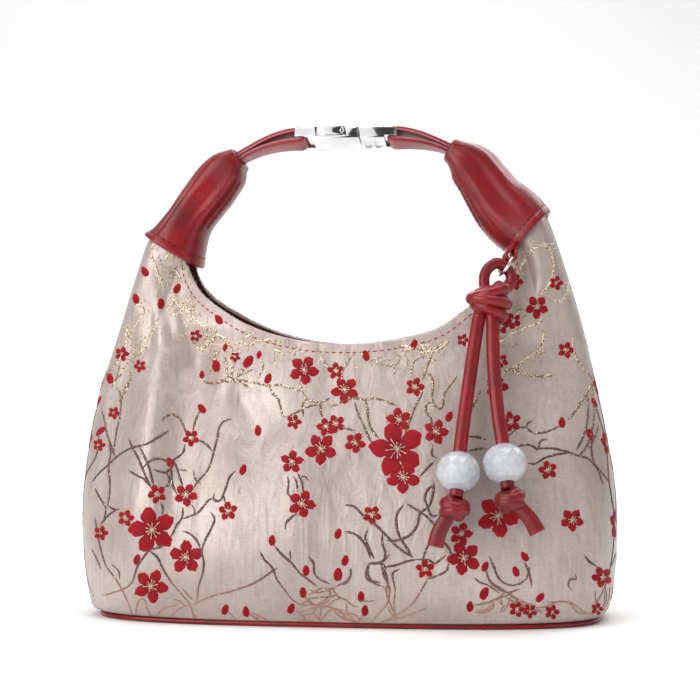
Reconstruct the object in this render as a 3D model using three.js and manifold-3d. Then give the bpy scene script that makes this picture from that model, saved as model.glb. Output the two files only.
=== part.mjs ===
// A small brocade purse with a curved mouth between two horns. Each horn is gathered into a leather
// sleeve, a doubled leather strap runs from each sleeve to a chrome clasp, and a knotted leather charm
// with two beads hangs at one horn. Millimetres, +Z up, +Y to the back, origin under the base's middle.
import * as THREE from "three";
import { mergeVertices } from "three/addons/utils/BufferGeometryUtils.js";
import Module from "manifold-3d";

const wasm = await Module();
wasm.setup();

// Bag body
const bodyWidth = 213; // at the belly
const bodyDepth = 96; // at the belly
const rimHeight = 107; // the mouth's lowest point
const mouthGap = 40; // front rim to back rim, at the middle
const clothThickness = 1.6;
const liningThickness = 0.9;
const liningGap = 1.9; // air between the cloth and its lining
const liningDrop = 5; // the lining starts this far below the rim
const liningInHorn = 0.78; // and in the horns it ends near this share of the seam's length
const clearance = 0.3; // between pieces that touch
const panelColumns = 20; // facets across each panel
const panelRows = 12; // facets from base to rim

// Base
const baseLength = 200;
const baseDepth = 86;
const baseThickness = 2;
const pipingDiameter = 2;

// Horns and leather sleeves
const hornSpread = 143.4; // between the middles of the sleeves' mouths
const hornHeight = 145.6; // the middle of the left sleeve's mouth
const rightHornLift = 6.1; // the right one stands this much higher
const hornInsert = 7; // how far the cloth runs up inside a sleeve
const sleeveLength = 45;
const sleeveWidth = 19; // seen from the front, halfway up
const sleeveDepth = 21; // front to back, halfway up
const sleeveWall = 1.6;
const sleeveFit = 0.9; // air between a sleeve and the cloth in it
const sleeveSides = 20;

// Handle
const strapWidth = 9.6;
const strapThickness = 1.7;
const strapInsert = 6; // how far the strap runs down inside a sleeve
const handleRise = 6.6; // the clasp's middle above the sleeves' ends
const handleShift = 1.3; // the clasp stands this far right of the sleeves' middle

// Clasp
const claspTilt = -18; // degrees: its underside leans to the front
const claspHeight = 5.2;
const leverBlockLength = 18.6; // the half that holds the lever
const tongueBlockLength = 9.6; // the half that the tongue is on
const claspGap = 0.5; // between the two closed halves
const leverBail = 7.2; // the strap's loop stands out this far on the lever's half
const tongueBail = 4.9; // and this far on the other
const bailArm = 1.5;
const bailHeight = 3.4;
const barDiameter = 2.2;
const noseLength = 1.6; // full height left of the lever's notch
const thumbGap = 2.8; // room for a finger-nail before the lever
const leverLength = 8.8;
const notchFloor = 1.1;
const earWidth = 4;
const earWall = 0.7; // round the pin
const pinDiameter = 1.2;
const tongueLength = 3.4;
const tongueWidth = 5;
const tongueThickness = 1.6;
const reliefDepth = 0.7;

// Charm
const cordDiameter = 4.6;
const cordSides = 8;
const ringWire = 1.3;
const ringSlack = 0.6;
const tabWidth = 3.6;
const tabThickness = 1.1;
const tabDrop = 7.2; // from the sleeve's edge down to the ring's wire
const beadDiameter = 16.8;
const beadHeight = 15.4;
const beadFit = 0.4; // air round the cord in a bead's hole
const knotWidth = 18;
const knotHeight = 13.6;
const knotDepth = 12.6;
const endKnotWidth = 12;
const endKnotHeight = 9;

const degrees = THREE.MathUtils.degToRad;
const { lerp, smoothstep, clamp } = THREE.MathUtils;
const halfWidth = bodyWidth / 2;
const halfDepth = bodyDepth / 2;
const floorHeight = pipingDiameter + clearance; // the cloth starts on top of the piping

const finish = (color, roughness, metalness = 0) =>
  new THREE.MeshStandardMaterial({ color, roughness, metalness });
const brocade = finish(0xd9cdc8, 0.45);
const darkCloth = finish(0x3a1c1a, 0.8);
const redLeather = finish(0x9c1c22, 0.42);
const chrome = finish(0xd8d8da, 0.12, 1);
const frostedGlass = finish(0xdcdfe2, 0.35);

// Making closed meshes

// The geometry of these points and faces, with its faces turned to point out.
function closedMesh(points, faces) {
  let volume = 0;
  for (let i = 0; i < faces.length; i += 3) {
    const [a, b, c] = [points[faces[i]], points[faces[i + 1]], points[faces[i + 2]]];
    volume += a.dot(new THREE.Vector3().crossVectors(b, c));
  }
  if (volume < 0) faces.reverse();
  const geometry = new THREE.BufferGeometry().setFromPoints(points);
  geometry.setIndex(faces);
  return geometry;
}

// A skin over rings of equal count. A loop joins its last ring to its first, and otherwise both ends
// are capped round their middles.
function skin(rings, loop = false) {
  const count = rings[0].length;
  const points = rings.flat();
  const faces = [];
  const spans = loop ? rings.length : rings.length - 1;
  for (let i = 0; i < spans; i++) {
    const low = i * count;
    const high = ((i + 1) % rings.length) * count;
    for (let j = 0; j < count; j++) {
      const next = (j + 1) % count;
      faces.push(low + j, low + next, high + next, low + j, high + next, high + j);
    }
  }
  if (!loop) {
    const ends = [0, rings.length - 1];
    for (const end of ends) {
      const middle = new THREE.Vector3();
      rings[end].forEach((point) => middle.addScaledVector(point, 1 / count));
      points.push(middle);
      for (let j = 0; j < count; j++) {
        const here = end * count + j;
        const next = end * count + ((j + 1) % count);
        faces.push(points.length - 1, end ? here : next, end ? next : here);
      }
    }
  }
  return closedMesh(points, faces);
}

// A wall between two grids of rows, joined along its four edges.
function wall(outer, inner) {
  const columns = outer[0].length;
  const rows = outer.length;
  const points = [...outer.flat(), ...inner.flat()];
  const faces = [];
  const at = (face, row, column) => (face * rows + row) * columns + column;
  const quad = (a, b, c, d) => faces.push(a, b, c, a, c, d);
  for (let i = 0; i < rows - 1; i++) {
    for (let j = 0; j < columns - 1; j++) {
      quad(at(0, i, j), at(0, i, j + 1), at(0, i + 1, j + 1), at(0, i + 1, j));
      quad(at(1, i, j), at(1, i + 1, j), at(1, i + 1, j + 1), at(1, i, j + 1));
    }
    quad(at(0, i, 0), at(0, i + 1, 0), at(1, i + 1, 0), at(1, i, 0));
    const last = columns - 1;
    quad(at(0, i, last), at(1, i, last), at(1, i + 1, last), at(0, i + 1, last));
  }
  for (let j = 0; j < columns - 1; j++) {
    quad(at(0, 0, j), at(1, 0, j), at(1, 0, j + 1), at(0, 0, j + 1));
    const top = rows - 1;
    quad(at(0, top, j), at(0, top, j + 1), at(1, top, j + 1), at(1, top, j));
  }
  return closedMesh(points, faces);
}

// A three.js geometry as a solid that can be cut and joined.
function solidOf(geometry) {
  const bare = geometry.clone();
  bare.deleteAttribute("normal");
  bare.deleteAttribute("uv");
  const merged = mergeVertices(bare, 1e-4);
  return new wasm.Manifold(
    new wasm.Mesh({
      numProp: 3,
      vertProperties: merged.attributes.position.array,
      triVerts: new Uint32Array(merged.index.array),
    }),
  );
}

// A cut or joined solid as a three.js geometry.
function geometryOf(solid) {
  const mesh = solid.getMesh();
  const geometry = new THREE.BufferGeometry();
  geometry.setAttribute("position", new THREE.BufferAttribute(mesh.vertProperties, 3));
  geometry.setIndex(new THREE.BufferAttribute(mesh.triVerts, 1));
  return geometry;
}

const joined = (...solids) => solids.reduce((sum, next) => sum.add(next));

// A box between two heights and two places along X, centred across Y.
function slab(left, right, low, high, depth) {
  const box = new THREE.BoxGeometry(right - left, depth, high - low);
  return solidOf(box.translate((left + right) / 2, 0, (low + high) / 2));
}

// A round bar along Y.
function crossBar(diameter, length, x, z) {
  const bar = new THREE.CylinderGeometry(diameter / 2, diameter / 2, length, 12);
  return solidOf(bar.translate(x, 0, z));
}

// A column's value at a place along a table's key column, on a smooth line through the rows.
function tableValue(rows, key, place, column) {
  const last = rows.length - 1;
  const above = rows.findIndex((row) => row[key] > place);
  const high = above === -1 ? last : Math.max(1, above);
  const slope = (row) => {
    const [before, after] = [rows[Math.max(0, row - 1)], rows[Math.min(last, row + 1)]];
    return (after[column] - before[column]) / (after[key] - before[key]);
  };
  const [from, to] = [rows[high - 1], rows[high]];
  const span = to[key] - from[key];
  const t = clamp((place - from[key]) / span, 0, 1);
  const rise = to[column] - from[column];
  const [start, end] = [slope(high - 1) * span, slope(high) * span];
  return from[column] + t * (start + t * (3 * rise - 2 * start - end + t * (start + end - 2 * rise)));
}

// A rounded box-like outline: the share of the half size that is left at a share of the other one.
const squircle = (share, squareness) => (1 - Math.min(1, Math.abs(share)) ** squareness) ** (1 / squareness);

// The same outline walked round by angle.
function squirclePoint(turn, width, depth, squareness) {
  const [c, s] = [Math.cos(turn), Math.sin(turn)];
  const power = 2 / squareness;
  return [width * Math.sign(c) * Math.abs(c) ** power, depth * Math.sign(s) * Math.abs(s) ** power];
}

// Sleeves

// Each sleeve leans from its mouth up to the strap's slot. Widths and depths are shares of the sleeve's
// named ones, lean is in degrees, and strap is how far a section has shrunk to the slot.
const sleeves = {
  left: {
    side: -1,
    lift: 0,
    rows: [
      { along: 0, lean: 59, width: 1.4, depth: 1.29, squareness: 2.3, strap: 0 },
      { along: 0.13, lean: 63, width: 1.17, depth: 1.2, squareness: 2.3, strap: 0 },
      { along: 0.3, lean: 58, width: 0.99, depth: 1.08, squareness: 2.3, strap: 0 },
      { along: 0.5, lean: 51, width: 0.99, depth: 1, squareness: 2.3, strap: 0 },
      { along: 0.72, lean: 54, width: 0.98, depth: 0.94, squareness: 2.5, strap: 0 },
      { along: 0.86, lean: 52, width: 0.87, depth: 0.9, squareness: 2.8, strap: 0.1 },
      { along: 0.95, lean: 42, width: 0.7, depth: 0.85, squareness: 3.4, strap: 0.4 },
      { along: 1, lean: 34, width: 0.6, depth: 0.8, squareness: 4, strap: 1 },
    ],
  },
  right: {
    side: 1,
    lift: rightHornLift,
    rows: [
      { along: 0, lean: 42, width: 1.21, depth: 1.29, squareness: 2.3, strap: 0 },
      { along: 0.12, lean: 43, width: 1.33, depth: 1.2, squareness: 2.3, strap: 0 },
      { along: 0.3, lean: 46, width: 1.3, depth: 1.08, squareness: 2.3, strap: 0 },
      { along: 0.46, lean: 55, width: 1.17, depth: 1, squareness: 2.3, strap: 0 },
      { along: 0.64, lean: 55, width: 1.07, depth: 0.95, squareness: 2.4, strap: 0 },
      { along: 0.78, lean: 49, width: 0.98, depth: 0.92, squareness: 2.6, strap: 0 },
      { along: 0.9, lean: 38, width: 0.76, depth: 0.87, squareness: 3.2, strap: 0.25 },
      { along: 1, lean: 30, width: 0.6, depth: 0.8, squareness: 4, strap: 1 },
    ],
  },
};
const axisSteps = 24;
const slotHalfWidth = strapThickness + clearance / 2 + 3 * clearance;
const slotHalfDepth = strapWidth / 2 + 5 * clearance;

// A section's half width or half depth, at a share of the sleeve's length.
function sleeveHalf(sleeve, along, column) {
  const full = column === "width" ? sleeveWidth : sleeveDepth;
  const slot = (column === "width" ? slotHalfWidth : slotHalfDepth) + sleeveWall;
  const body = (tableValue(sleeve.rows, "along", along, column) * full) / 2;
  return lerp(body, slot, tableValue(sleeve.rows, "along", along, "strap"));
}

for (const sleeve of Object.values(sleeves)) {
  const place = new THREE.Vector3((sleeve.side * hornSpread) / 2, 0, hornHeight + sleeve.lift);
  sleeve.axis = [];
  for (let i = 0; i <= axisSteps; i++) {
    const lean = degrees(tableValue(sleeve.rows, "along", i / axisSteps, "lean"));
    const ahead = new THREE.Vector3(-sleeve.side * Math.cos(lean), 0, Math.sin(lean));
    const outward = new THREE.Vector3(sleeve.side * Math.sin(lean), 0, Math.cos(lean));
    sleeve.axis.push({ along: i / axisSteps, place: place.clone(), ahead, outward });
    place.addScaledVector(ahead, sleeveLength / axisSteps);
  }
  sleeve.mouth = sleeve.axis[0];
  sleeve.end = sleeve.axis[axisSteps];
  sleeve.lowest = sleeve.mouth.place.z - sleeve.mouth.outward.z * sleeveHalf(sleeve, 0, "width");
}

// A place at a length along a sleeve's axis and a distance outward from it.
function inSleeve(sleeve, length, outward) {
  const step = clamp(Math.floor((length / sleeveLength) * axisSteps), 0, axisSteps - 1);
  const station = sleeve.axis[step];
  const rest = length - station.along * sleeveLength;
  return station.place.clone().addScaledVector(station.ahead, rest).addScaledVector(station.outward, outward);
}

function sleeveRing(sleeve, station, inset) {
  const width = sleeveHalf(sleeve, station.along, "width") - inset;
  const depth = sleeveHalf(sleeve, station.along, "depth") - inset;
  const squareness = tableValue(sleeve.rows, "along", station.along, "squareness");
  const ring = [];
  for (let k = 0; k < sleeveSides; k++) {
    const [across, y] = squirclePoint((k / sleeveSides) * 2 * Math.PI, width, depth, squareness);
    ring.push(station.place.clone().addScaledVector(station.outward, across).setY(y));
  }
  return ring;
}

function leatherSleeve(sleeve) {
  const stations = sleeve.axis.filter((_, i) => i % 2 === 0);
  const outer = stations.map((station) => sleeveRing(sleeve, station, 0));
  const inner = stations.map((station) => sleeveRing(sleeve, station, sleeveWall));
  return skin([...outer, ...inner.reverse()], true);
}

// Cloth body

// The side seams, from base to horn: heights as shares of the horn's, distances from the middle as
// shares of the half width.
const seamRows = [
  { up: 0.009, left: 0.965, right: 0.958 },
  { up: 0.037, left: 0.977, right: 0.97 },
  { up: 0.122, left: 0.992, right: 0.986 },
  { up: 0.235, left: 1.004, right: 0.992 },
  { up: 0.333, left: 1.005, right: 0.987 },
  { up: 0.463, left: 0.988, right: 0.96 },
  { up: 0.577, left: 0.965, right: 0.93 },
  { up: 0.689, left: 0.922, right: 0.896 },
  { up: 0.804, left: 0.872, right: 0.858 },
  { up: 0.918, left: 0.822, right: 0.812 },
];
// The rim, from the mouth's middle out to each horn: shares of the way to the horn's inner edge.
const rimRows = [
  { up: 0, left: 0, right: 0 },
  { up: 0.012, left: 0.16, right: 0.17 },
  { up: 0.05, left: 0.3, right: 0.32 },
  { up: 0.16, left: 0.515, right: 0.555 },
  { up: 0.36, left: 0.725, right: 0.72 },
  { up: 0.6, left: 0.905, right: 0.915 },
  { up: 0.82, left: 0.98, right: 0.966 },
];
// The bag's sections, at shares of the rim's height: how much of their depth is the belly's and how
// much the mouth's, the rest being the base's, and how square they are.
const sectionRows = [
  { up: 0, belly: 0, mouth: 0, squareness: 3.2 },
  { up: 0.1, belly: 0.8, mouth: 0, squareness: 3.1 },
  { up: 0.27, belly: 1, mouth: 0, squareness: 2.9 },
  { up: 0.5, belly: 0.82, mouth: 0.18, squareness: 2.7 },
  { up: 0.75, belly: 0.42, mouth: 0.58, squareness: 2.5 },
  { up: 1, belly: 0, mouth: 1, squareness: 2.3 },
];
// Soft hollows in the cloth, and swellings with a depth below zero: places as shares of the half width
// and the rim's height, sizes as shares of the same, depths as shares of the half depth.
const hollows = [
  { panel: "front", across: -0.57, up: 0.97, wide: 0.09, tall: 0.16, deep: 0.07 },
  { panel: "front", across: -0.74, up: 0.86, wide: 0.08, tall: 0.3, deep: -0.05 },
  { panel: "front", across: -0.42, up: 0.78, wide: 0.1, tall: 0.1, deep: 0.05 },
  { panel: "front", across: -0.87, up: 0.62, wide: 0.06, tall: 0.35, deep: 0.04 },
  { panel: "front", across: -0.05, up: 0.8, wide: 0.16, tall: 0.14, deep: 0.03 },
  { panel: "front", across: 0.72, up: 0.86, wide: 0.07, tall: 0.26, deep: 0.05 },
  { panel: "front", across: 0.86, up: 0.24, wide: 0.07, tall: 0.14, deep: 0.05 },
  { panel: "back", across: 0.5, up: 0.93, wide: 0.12, tall: 0.2, deep: 0.06 },
  { panel: "back", across: -0.6, up: 0.8, wide: 0.1, tall: 0.25, deep: 0.05 },
  { panel: "back", across: 0.1, up: 0.45, wide: 0.25, tall: 0.2, deep: 0.03 },
];
const hornStart = 0.8; // columns past this share of a panel end in a horn's top edge
const rimInHorn = 0.76; // the rim lies this share of the horn's half width inward of its axis
const hornSquareness = 2.3;
const hemZone = 5; // the cloth has the horn's size from this far below the sleeve's edge
const turnToHorn = 0.2; // the cloth starts to round into the horn this far up from the rim

const hornHalf = (sleeve, length, column) =>
  sleeveHalf(sleeve, length / sleeveLength, column) - sleeveWall - sleeveFit;

for (const [name, sleeve] of Object.entries(sleeves)) {
  const outer = (length) => inSleeve(sleeve, length, hornHalf(sleeve, length, "width"));
  const inner = (length) => inSleeve(sleeve, length, -rimInHorn * hornHalf(sleeve, length, "width"));
  const seam = seamRows.map(
    (row) => new THREE.Vector3(sleeve.side * halfWidth * row[name], 0, lerp(floorHeight, hornHeight, row.up)),
  );
  const foot = new THREE.Vector3((sleeve.side * baseLength) / 2, 0, floorHeight);
  const side = [foot, ...seam, outer(0), outer(hornInsert)];
  sleeve.seam = new THREE.CatmullRomCurve3(side, false, "centripetal");
  const rim = rimRows.map(
    (row) => new THREE.Vector3(inner(0).x * row[name], 0, lerp(rimHeight, inner(0).z, row.up)),
  );
  sleeve.rim = new THREE.CatmullRomCurve3([...rim, inner(0)], false, "centripetal");
  sleeve.tip = [inner(0), outer(hornInsert)];
}

// The top edge at a share of a panel, -1 to 1: along the rim, then across a horn's top.
function topEdge(share) {
  const sleeve = share < 0 ? sleeves.left : sleeves.right;
  const reach = Math.abs(share);
  if (reach <= hornStart) return sleeve.rim.getPointAt(reach / hornStart);
  return sleeve.tip[0].clone().lerp(sleeve.tip[1], (reach - hornStart) / (1 - hornStart));
}

// Half the horn's depth at a point of it. Inside the sleeve, the point is also kept within its walls.
function hornDepth(sleeve, share, point) {
  const from = point.clone().sub(sleeve.mouth.place);
  const length = from.dot(sleeve.mouth.ahead);
  const inside = clamp(length, 0, hornInsert);
  const half = hornHalf(sleeve, inside, "width");
  let across = lerp(-rimInHorn, 1, Math.max(0, (Math.abs(share) - hornStart) / (1 - hornStart)));
  if (length > -hemZone && point.z > sleeve.lowest) {
    const outward = from.dot(sleeve.mouth.outward);
    const kept = clamp(outward, -rimInHorn * half, half);
    point.addScaledVector(sleeve.mouth.outward, kept - outward);
    across = Math.abs(share) < 1 ? Math.max(across, kept / half) : 1;
  }
  return hornHalf(sleeve, inside, "depth") * squircle(across, hornSquareness);
}

// A point of the cloth's outer face: share runs from the left seam, -1, to the right one, 1, and up
// from the base, 0, to the rim, 1. The front view is blended from the four edges.
function clothPoint(panel, share, up) {
  const across = (share + 1) / 2;
  const foot = (place) => new THREE.Vector3((place * baseLength) / 2, 0, floorHeight);
  const point = foot(share).multiplyScalar(1 - up).addScaledVector(topEdge(share), up);
  point.addScaledVector(sleeves.left.seam.getPointAt(up), 1 - across);
  point.addScaledVector(sleeves.right.seam.getPointAt(up), across);
  const corners = [
    [-1, 1 - across],
    [1, across],
  ];
  for (const [end, weight] of corners) {
    point.addScaledVector(foot(end), -weight * (1 - up)).addScaledVector(topEdge(end), -weight * up);
  }
  const sleeve = share < 0 ? sleeves.left : sleeves.right;
  const height = clamp((point.z - floorHeight) / (rimHeight - floorHeight), 0, 1);
  const [belly, mouth, squareness] = ["belly", "mouth", "squareness"].map((column) =>
    tableValue(sectionRows, "up", height, column),
  );
  const depth = bodyDepth * belly + mouthGap * mouth + baseDepth * (1 - belly - mouth);
  const bodyReach = (depth / 2) * squircle(share, squareness);
  const turned = smoothstep(point.z, lerp(rimHeight, sleeve.lowest, turnToHorn), sleeve.lowest - hemZone);
  let reach = lerp(bodyReach, hornDepth(sleeve, share, point), turned);
  const fade = (1 - share ** 8) * Math.min(1, up * 6) * (1 - turned);
  for (const hollow of hollows.filter((row) => row.panel === panel)) {
    const dx = (point.x / halfWidth - hollow.across) / hollow.wide;
    const dz = (point.z / rimHeight - hollow.up) / hollow.tall;
    reach -= hollow.deep * halfDepth * fade * Math.exp(-dx * dx - dz * dz);
  }
  point.y = panel === "front" ? -reach : reach;
  return point;
}

// The same, moved inward square to the face.
function insetPoint(panel, turn, up, inset) {
  const at = (angle, height) => {
    const past = Math.abs(angle) > Math.PI / 2;
    const other = panel === "front" ? "back" : "front";
    return clothPoint(past ? other : panel, Math.sin(angle), height);
  };
  const point = at(turn, up);
  if (!inset) return point;
  const [turnStep, upStep] = [0.03, 0.004];
  const wide = at(turn + turnStep, up).sub(at(turn - turnStep, up));
  const tall = at(turn, Math.min(1, up + upStep)).sub(at(turn, Math.max(0, up - upStep)));
  const inward = tall.cross(wide).normalize();
  return point.addScaledVector(inward, panel === "front" ? inset : -inset);
}

// The heights of the cloth's rows: closer near the base, and the last but one where the lining stops.
const rowHeights = [];
for (let i = 0; i < panelRows; i++) {
  rowHeights.push((i / (panelRows - 1)) ** 1.2 * (1 - liningDrop / rimHeight));
}
rowHeights.push(1);

// A row of a panel: the front's runs to the right and the back's to the left, one way round the bag.
function panelRow(panel, up, inset, trimmed = (height) => height) {
  const row = [];
  const way = panel === "front" ? 1 : -1;
  for (let j = 0; j <= panelColumns; j++) {
    const turn = way * (j / panelColumns - 0.5) * Math.PI;
    row.push(insetPoint(panel, turn, trimmed(up, Math.sin(turn)), inset));
  }
  return row;
}

function brocadePanel(panel) {
  const apart = ((panel === "front" ? -1 : 1) * clearance) / 2;
  const grid = (inset) =>
    rowHeights.map((up) => panelRow(panel, up, inset).map((point) => point.setY(point.y + apart)));
  return wall(grid(0), grid(clothThickness));
}

function liningTop(up, share) {
  const squeezed = lerp(1, 0.15, smoothstep(Math.abs(share), 0.5, hornStart));
  return up < liningInHorn ? up : liningInHorn + (up - liningInHorn) * squeezed;
}

function liningBag() {
  const heights = rowHeights.slice(0, -1);
  const outside = clothThickness + liningGap;
  // In the horns the lining stops lower still, where the cloth closes round it.
  const trimmed = (up, inset) =>
    ["front", "back"].flatMap((panel) => panelRow(panel, up, inset, liningTop).slice(0, -1));
  const foot = (inset, height) => {
    const shrink = new THREE.Vector3(1 - (2 * inset) / baseLength, 1 - (2 * inset) / baseDepth, 1);
    return trimmed(0, 0).map((point) => point.multiply(shrink).setZ(height));
  };
  const floor = baseThickness + 2 * clearance;
  const footInset = outside + liningThickness;
  const outer = [foot(footInset, floor), ...heights.slice(1).map((up) => trimmed(up, outside))];
  const inner = [
    foot(footInset + liningThickness, floor + liningThickness),
    ...heights.slice(1).map((up) => trimmed(up, outside + liningThickness)),
  ];
  return skin([...outer.reverse(), ...inner].reverse(), true);
}

// Base

const baseSquareness = sectionRows[0].squareness;

function baseOutline(inset) {
  const points = [];
  const count = 2 * panelColumns;
  for (let j = 0; j < count; j++) {
    const turn = (j / count) * 2 * Math.PI;
    const place = squirclePoint(turn, baseLength / 2 - inset, baseDepth / 2 - inset, baseSquareness);
    points.push(new THREE.Vector2(...place));
  }
  return points;
}

function basePanel() {
  const shape = new THREE.Shape(baseOutline(pipingDiameter + clearance));
  return new THREE.ExtrudeGeometry(shape, { depth: baseThickness, bevelEnabled: false });
}

function basePiping() {
  const sides = 6;
  const line = baseOutline(pipingDiameter / 2);
  const rings = line.map((point, j) => {
    const before = line[(j + line.length - 1) % line.length];
    const after = line[(j + 1) % line.length];
    const along = after.clone().sub(before).normalize();
    const ring = [];
    for (let k = 0; k < sides; k++) {
      const turn = ((k + 0.5) / sides) * 2 * Math.PI;
      const out = (Math.cos(turn) * pipingDiameter) / 2;
      const up = ((1 + Math.sin(turn)) * pipingDiameter) / 2;
      ring.push(new THREE.Vector3(point.x + along.y * out, point.y - along.x * out, up));
    }
    return ring;
  });
  return skin(rings, true);
}

// Straps and tab

// A flat band that runs to a bar, folds round it and runs back beside itself. Sides are the
// directions in which its two layers lie apart, at its start and at the bar.
function foldedBand(band) {
  const { start, startAhead, startSide, bar, barAhead, barSide, barSize, width, thickness, runs } = band;
  const apart = (thickness + clearance) / 2;
  const radius = barSize / 2 + clearance + thickness / 2;
  const span = start.distanceTo(bar);
  const route = new THREE.CubicBezierCurve3(
    start,
    start.clone().addScaledVector(startAhead, span / 3),
    bar.clone().addScaledVector(barAhead, -span / 3),
    bar,
  );
  const folds = 6;
  const stops = [];
  for (let i = 0; i < runs; i++) {
    const share = i / runs;
    const ahead = route.getTangent(share);
    const side = startSide.clone().lerp(barSide, share);
    side.addScaledVector(ahead, -side.dot(ahead)).normalize();
    const gap = lerp(apart, radius, smoothstep(share, 0.3, 1));
    const across = new THREE.Vector3().crossVectors(side, ahead);
    stops.push({ middle: route.getPoint(share), side, gap, across });
  }
  const layer = (stop, gap) => ({
    place: stop.middle.clone().addScaledVector(stop.side, gap),
    across: stop.across,
  });
  const path = stops.map((stop) => layer(stop, stop.gap));
  const barAcross = new THREE.Vector3().crossVectors(barSide, barAhead);
  for (let i = 0; i <= folds; i++) {
    const turn = (i / folds) * Math.PI;
    const place = bar.clone().addScaledVector(barSide, radius * Math.cos(turn));
    path.push({ place: place.addScaledVector(barAhead, radius * Math.sin(turn)), across: barAcross });
  }
  path.push(...stops.reverse().map((stop) => layer(stop, -stop.gap)));
  const edge = 0.3; // share of the thickness that the long edges are eased by
  const section = [
    [-0.5, -0.5 + edge],
    [-0.5, 0.5 - edge],
    [-0.46, 0.5],
    [0.46, 0.5],
    [0.5, 0.5 - edge],
    [0.5, -0.5 + edge],
    [0.46, -0.5],
    [-0.46, -0.5],
  ];
  const rings = path.map((stop, i) => {
    const ahead = path[Math.min(i + 1, path.length - 1)].place.clone().sub(path[Math.max(i - 1, 0)].place);
    const outward = new THREE.Vector3().crossVectors(ahead, stop.across).normalize();
    return section.map(([across, out]) => {
      const point = stop.place.clone().addScaledVector(stop.across, across * width);
      return point.addScaledVector(outward, out * thickness);
    });
  });
  return skin(rings);
}

const claspLength = leverBail + leverBlockLength + claspGap + tongueBlockLength + tongueBail;
const claspLeft = -claspLength / 2;
const claspTurn = new THREE.Quaternion().setFromAxisAngle(new THREE.Vector3(1, 0, 0), degrees(claspTilt));
const claspPlace = new THREE.Vector3()
  .addVectors(sleeves.left.end.place, sleeves.right.end.place)
  .multiplyScalar(0.5)
  .add(new THREE.Vector3(handleShift, 0, handleRise));

function handleStrap(sleeve) {
  const bar = claspPlace.clone().setX(claspPlace.x + sleeve.side * (claspLength / 2 - barDiameter / 2));
  return foldedBand({
    start: sleeve.end.place.clone().addScaledVector(sleeve.end.ahead, -strapInsert),
    startAhead: sleeve.end.ahead,
    startSide: sleeve.end.outward,
    bar,
    barAhead: new THREE.Vector3(-sleeve.side, 0, 0),
    barSide: new THREE.Vector3(0, 0, 1).applyQuaternion(claspTurn),
    barSize: barDiameter,
    width: strapWidth,
    thickness: strapThickness,
    runs: 9,
  });
}

// Clasp, made along X round its own middle

const claspDepth = strapWidth + 2 * (clearance + bailArm);
const claspTop = claspHeight / 2;
const leverBlockStart = claspLeft + leverBail;
const leverBlockEnd = leverBlockStart + leverBlockLength;
const tongueBlockStart = leverBlockEnd + claspGap;
const tongueBlockEnd = tongueBlockStart + tongueBlockLength;
const leverHeight = claspHeight - notchFloor - clearance;
const leverStart = leverBlockStart + noseLength + thumbGap;
const leverEnd = leverStart + leverLength;
const pivot = { x: leverEnd - leverHeight / 2, z: claspTop - leverHeight / 2 };
const pinHole = pinDiameter + 2 * clearance;
const earDiameter = pinHole + 2 * earWall;

// Two arms and a bar, from a block's face out to where the strap folds round the bar.
function bail(blockFace, outerEnd) {
  const [left, right] = [Math.min(blockFace, outerEnd), Math.max(blockFace, outerEnd)];
  const frame = slab(left, right, -bailHeight / 2, bailHeight / 2, claspDepth);
  const opening = slab(left - 1, right + 1, -bailHeight, bailHeight, claspDepth - 2 * bailArm);
  const inward = Math.sign(blockFace - outerEnd);
  const bar = crossBar(barDiameter, claspDepth - bailArm, outerEnd + (inward * barDiameter) / 2, 0);
  return joined(frame.subtract(opening), bar);
}

// A block whose top edges across the clasp are cut off at its ends.
function claspBlock(left, right) {
  const bevel = 0.9;
  const low = -claspTop;
  const shape = new THREE.Shape([
    new THREE.Vector2(left, low),
    new THREE.Vector2(right, low),
    new THREE.Vector2(right, claspTop - bevel),
    new THREE.Vector2(right - bevel, claspTop),
    new THREE.Vector2(left + bevel, claspTop),
    new THREE.Vector2(left, claspTop - bevel),
  ]);
  return solidOf(crossExtrusion(shape, claspDepth));
}

// A shape drawn in X and Z, extruded along Y and centred.
function crossExtrusion(shape, depth) {
  const geometry = new THREE.ExtrudeGeometry(shape, { depth, bevelEnabled: false, curveSegments: 8 });
  return geometry.rotateX(Math.PI / 2).translate(0, depth / 2, 0);
}

function leverHalf() {
  const notchFloorTop = -claspTop + notchFloor;
  const notchEnd = leverEnd + clearance;
  const block = claspBlock(leverBlockStart, leverBlockEnd);
  const notch = slab(leverBlockStart + noseLength, notchEnd, notchFloorTop, claspTop + 1, claspDepth + 2);
  const pocketStart = leverBlockEnd - tongueLength;
  const pocketHalf = tongueThickness / 2 + clearance;
  const pocket = slab(pocketStart, leverBlockEnd + 1, -pocketHalf, pocketHalf, tongueWidth + 2 * clearance);
  const ear = joined(
    crossBar(earDiameter, earWidth, pivot.x, pivot.z),
    slab(pivot.x - earDiameter / 2, notchEnd + clearance, notchFloorTop - clearance, pivot.z, earWidth),
    slab(pivot.x, notchEnd + clearance, notchFloorTop, pivot.z + earDiameter / 2, earWidth),
  );
  const body = joined(block.subtract(notch), ear, bail(leverBlockStart, claspLeft));
  return geometryOf(body.subtract(pocket).subtract(crossBar(pinHole, claspDepth, pivot.x, pivot.z)));
}

function thumbLever() {
  const half = leverHeight / 2;
  const shape = new THREE.Shape();
  shape.moveTo(pivot.x, pivot.z - half);
  shape.absarc(pivot.x, pivot.z, half, -Math.PI / 2, Math.PI / 2);
  shape.lineTo(leverStart, claspTop);
  shape.lineTo(leverStart, pivot.z - half);
  shape.closePath();
  const lever = solidOf(crossExtrusion(shape, claspDepth));
  const slotStart = pivot.x - earDiameter / 2 - clearance;
  const slot = slab(slotStart, leverEnd + 1, -claspHeight, claspHeight, earWidth + 2 * clearance);
  return geometryOf(lever.subtract(slot).subtract(crossBar(pinHole, claspDepth + 2, pivot.x, pivot.z)));
}

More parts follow.
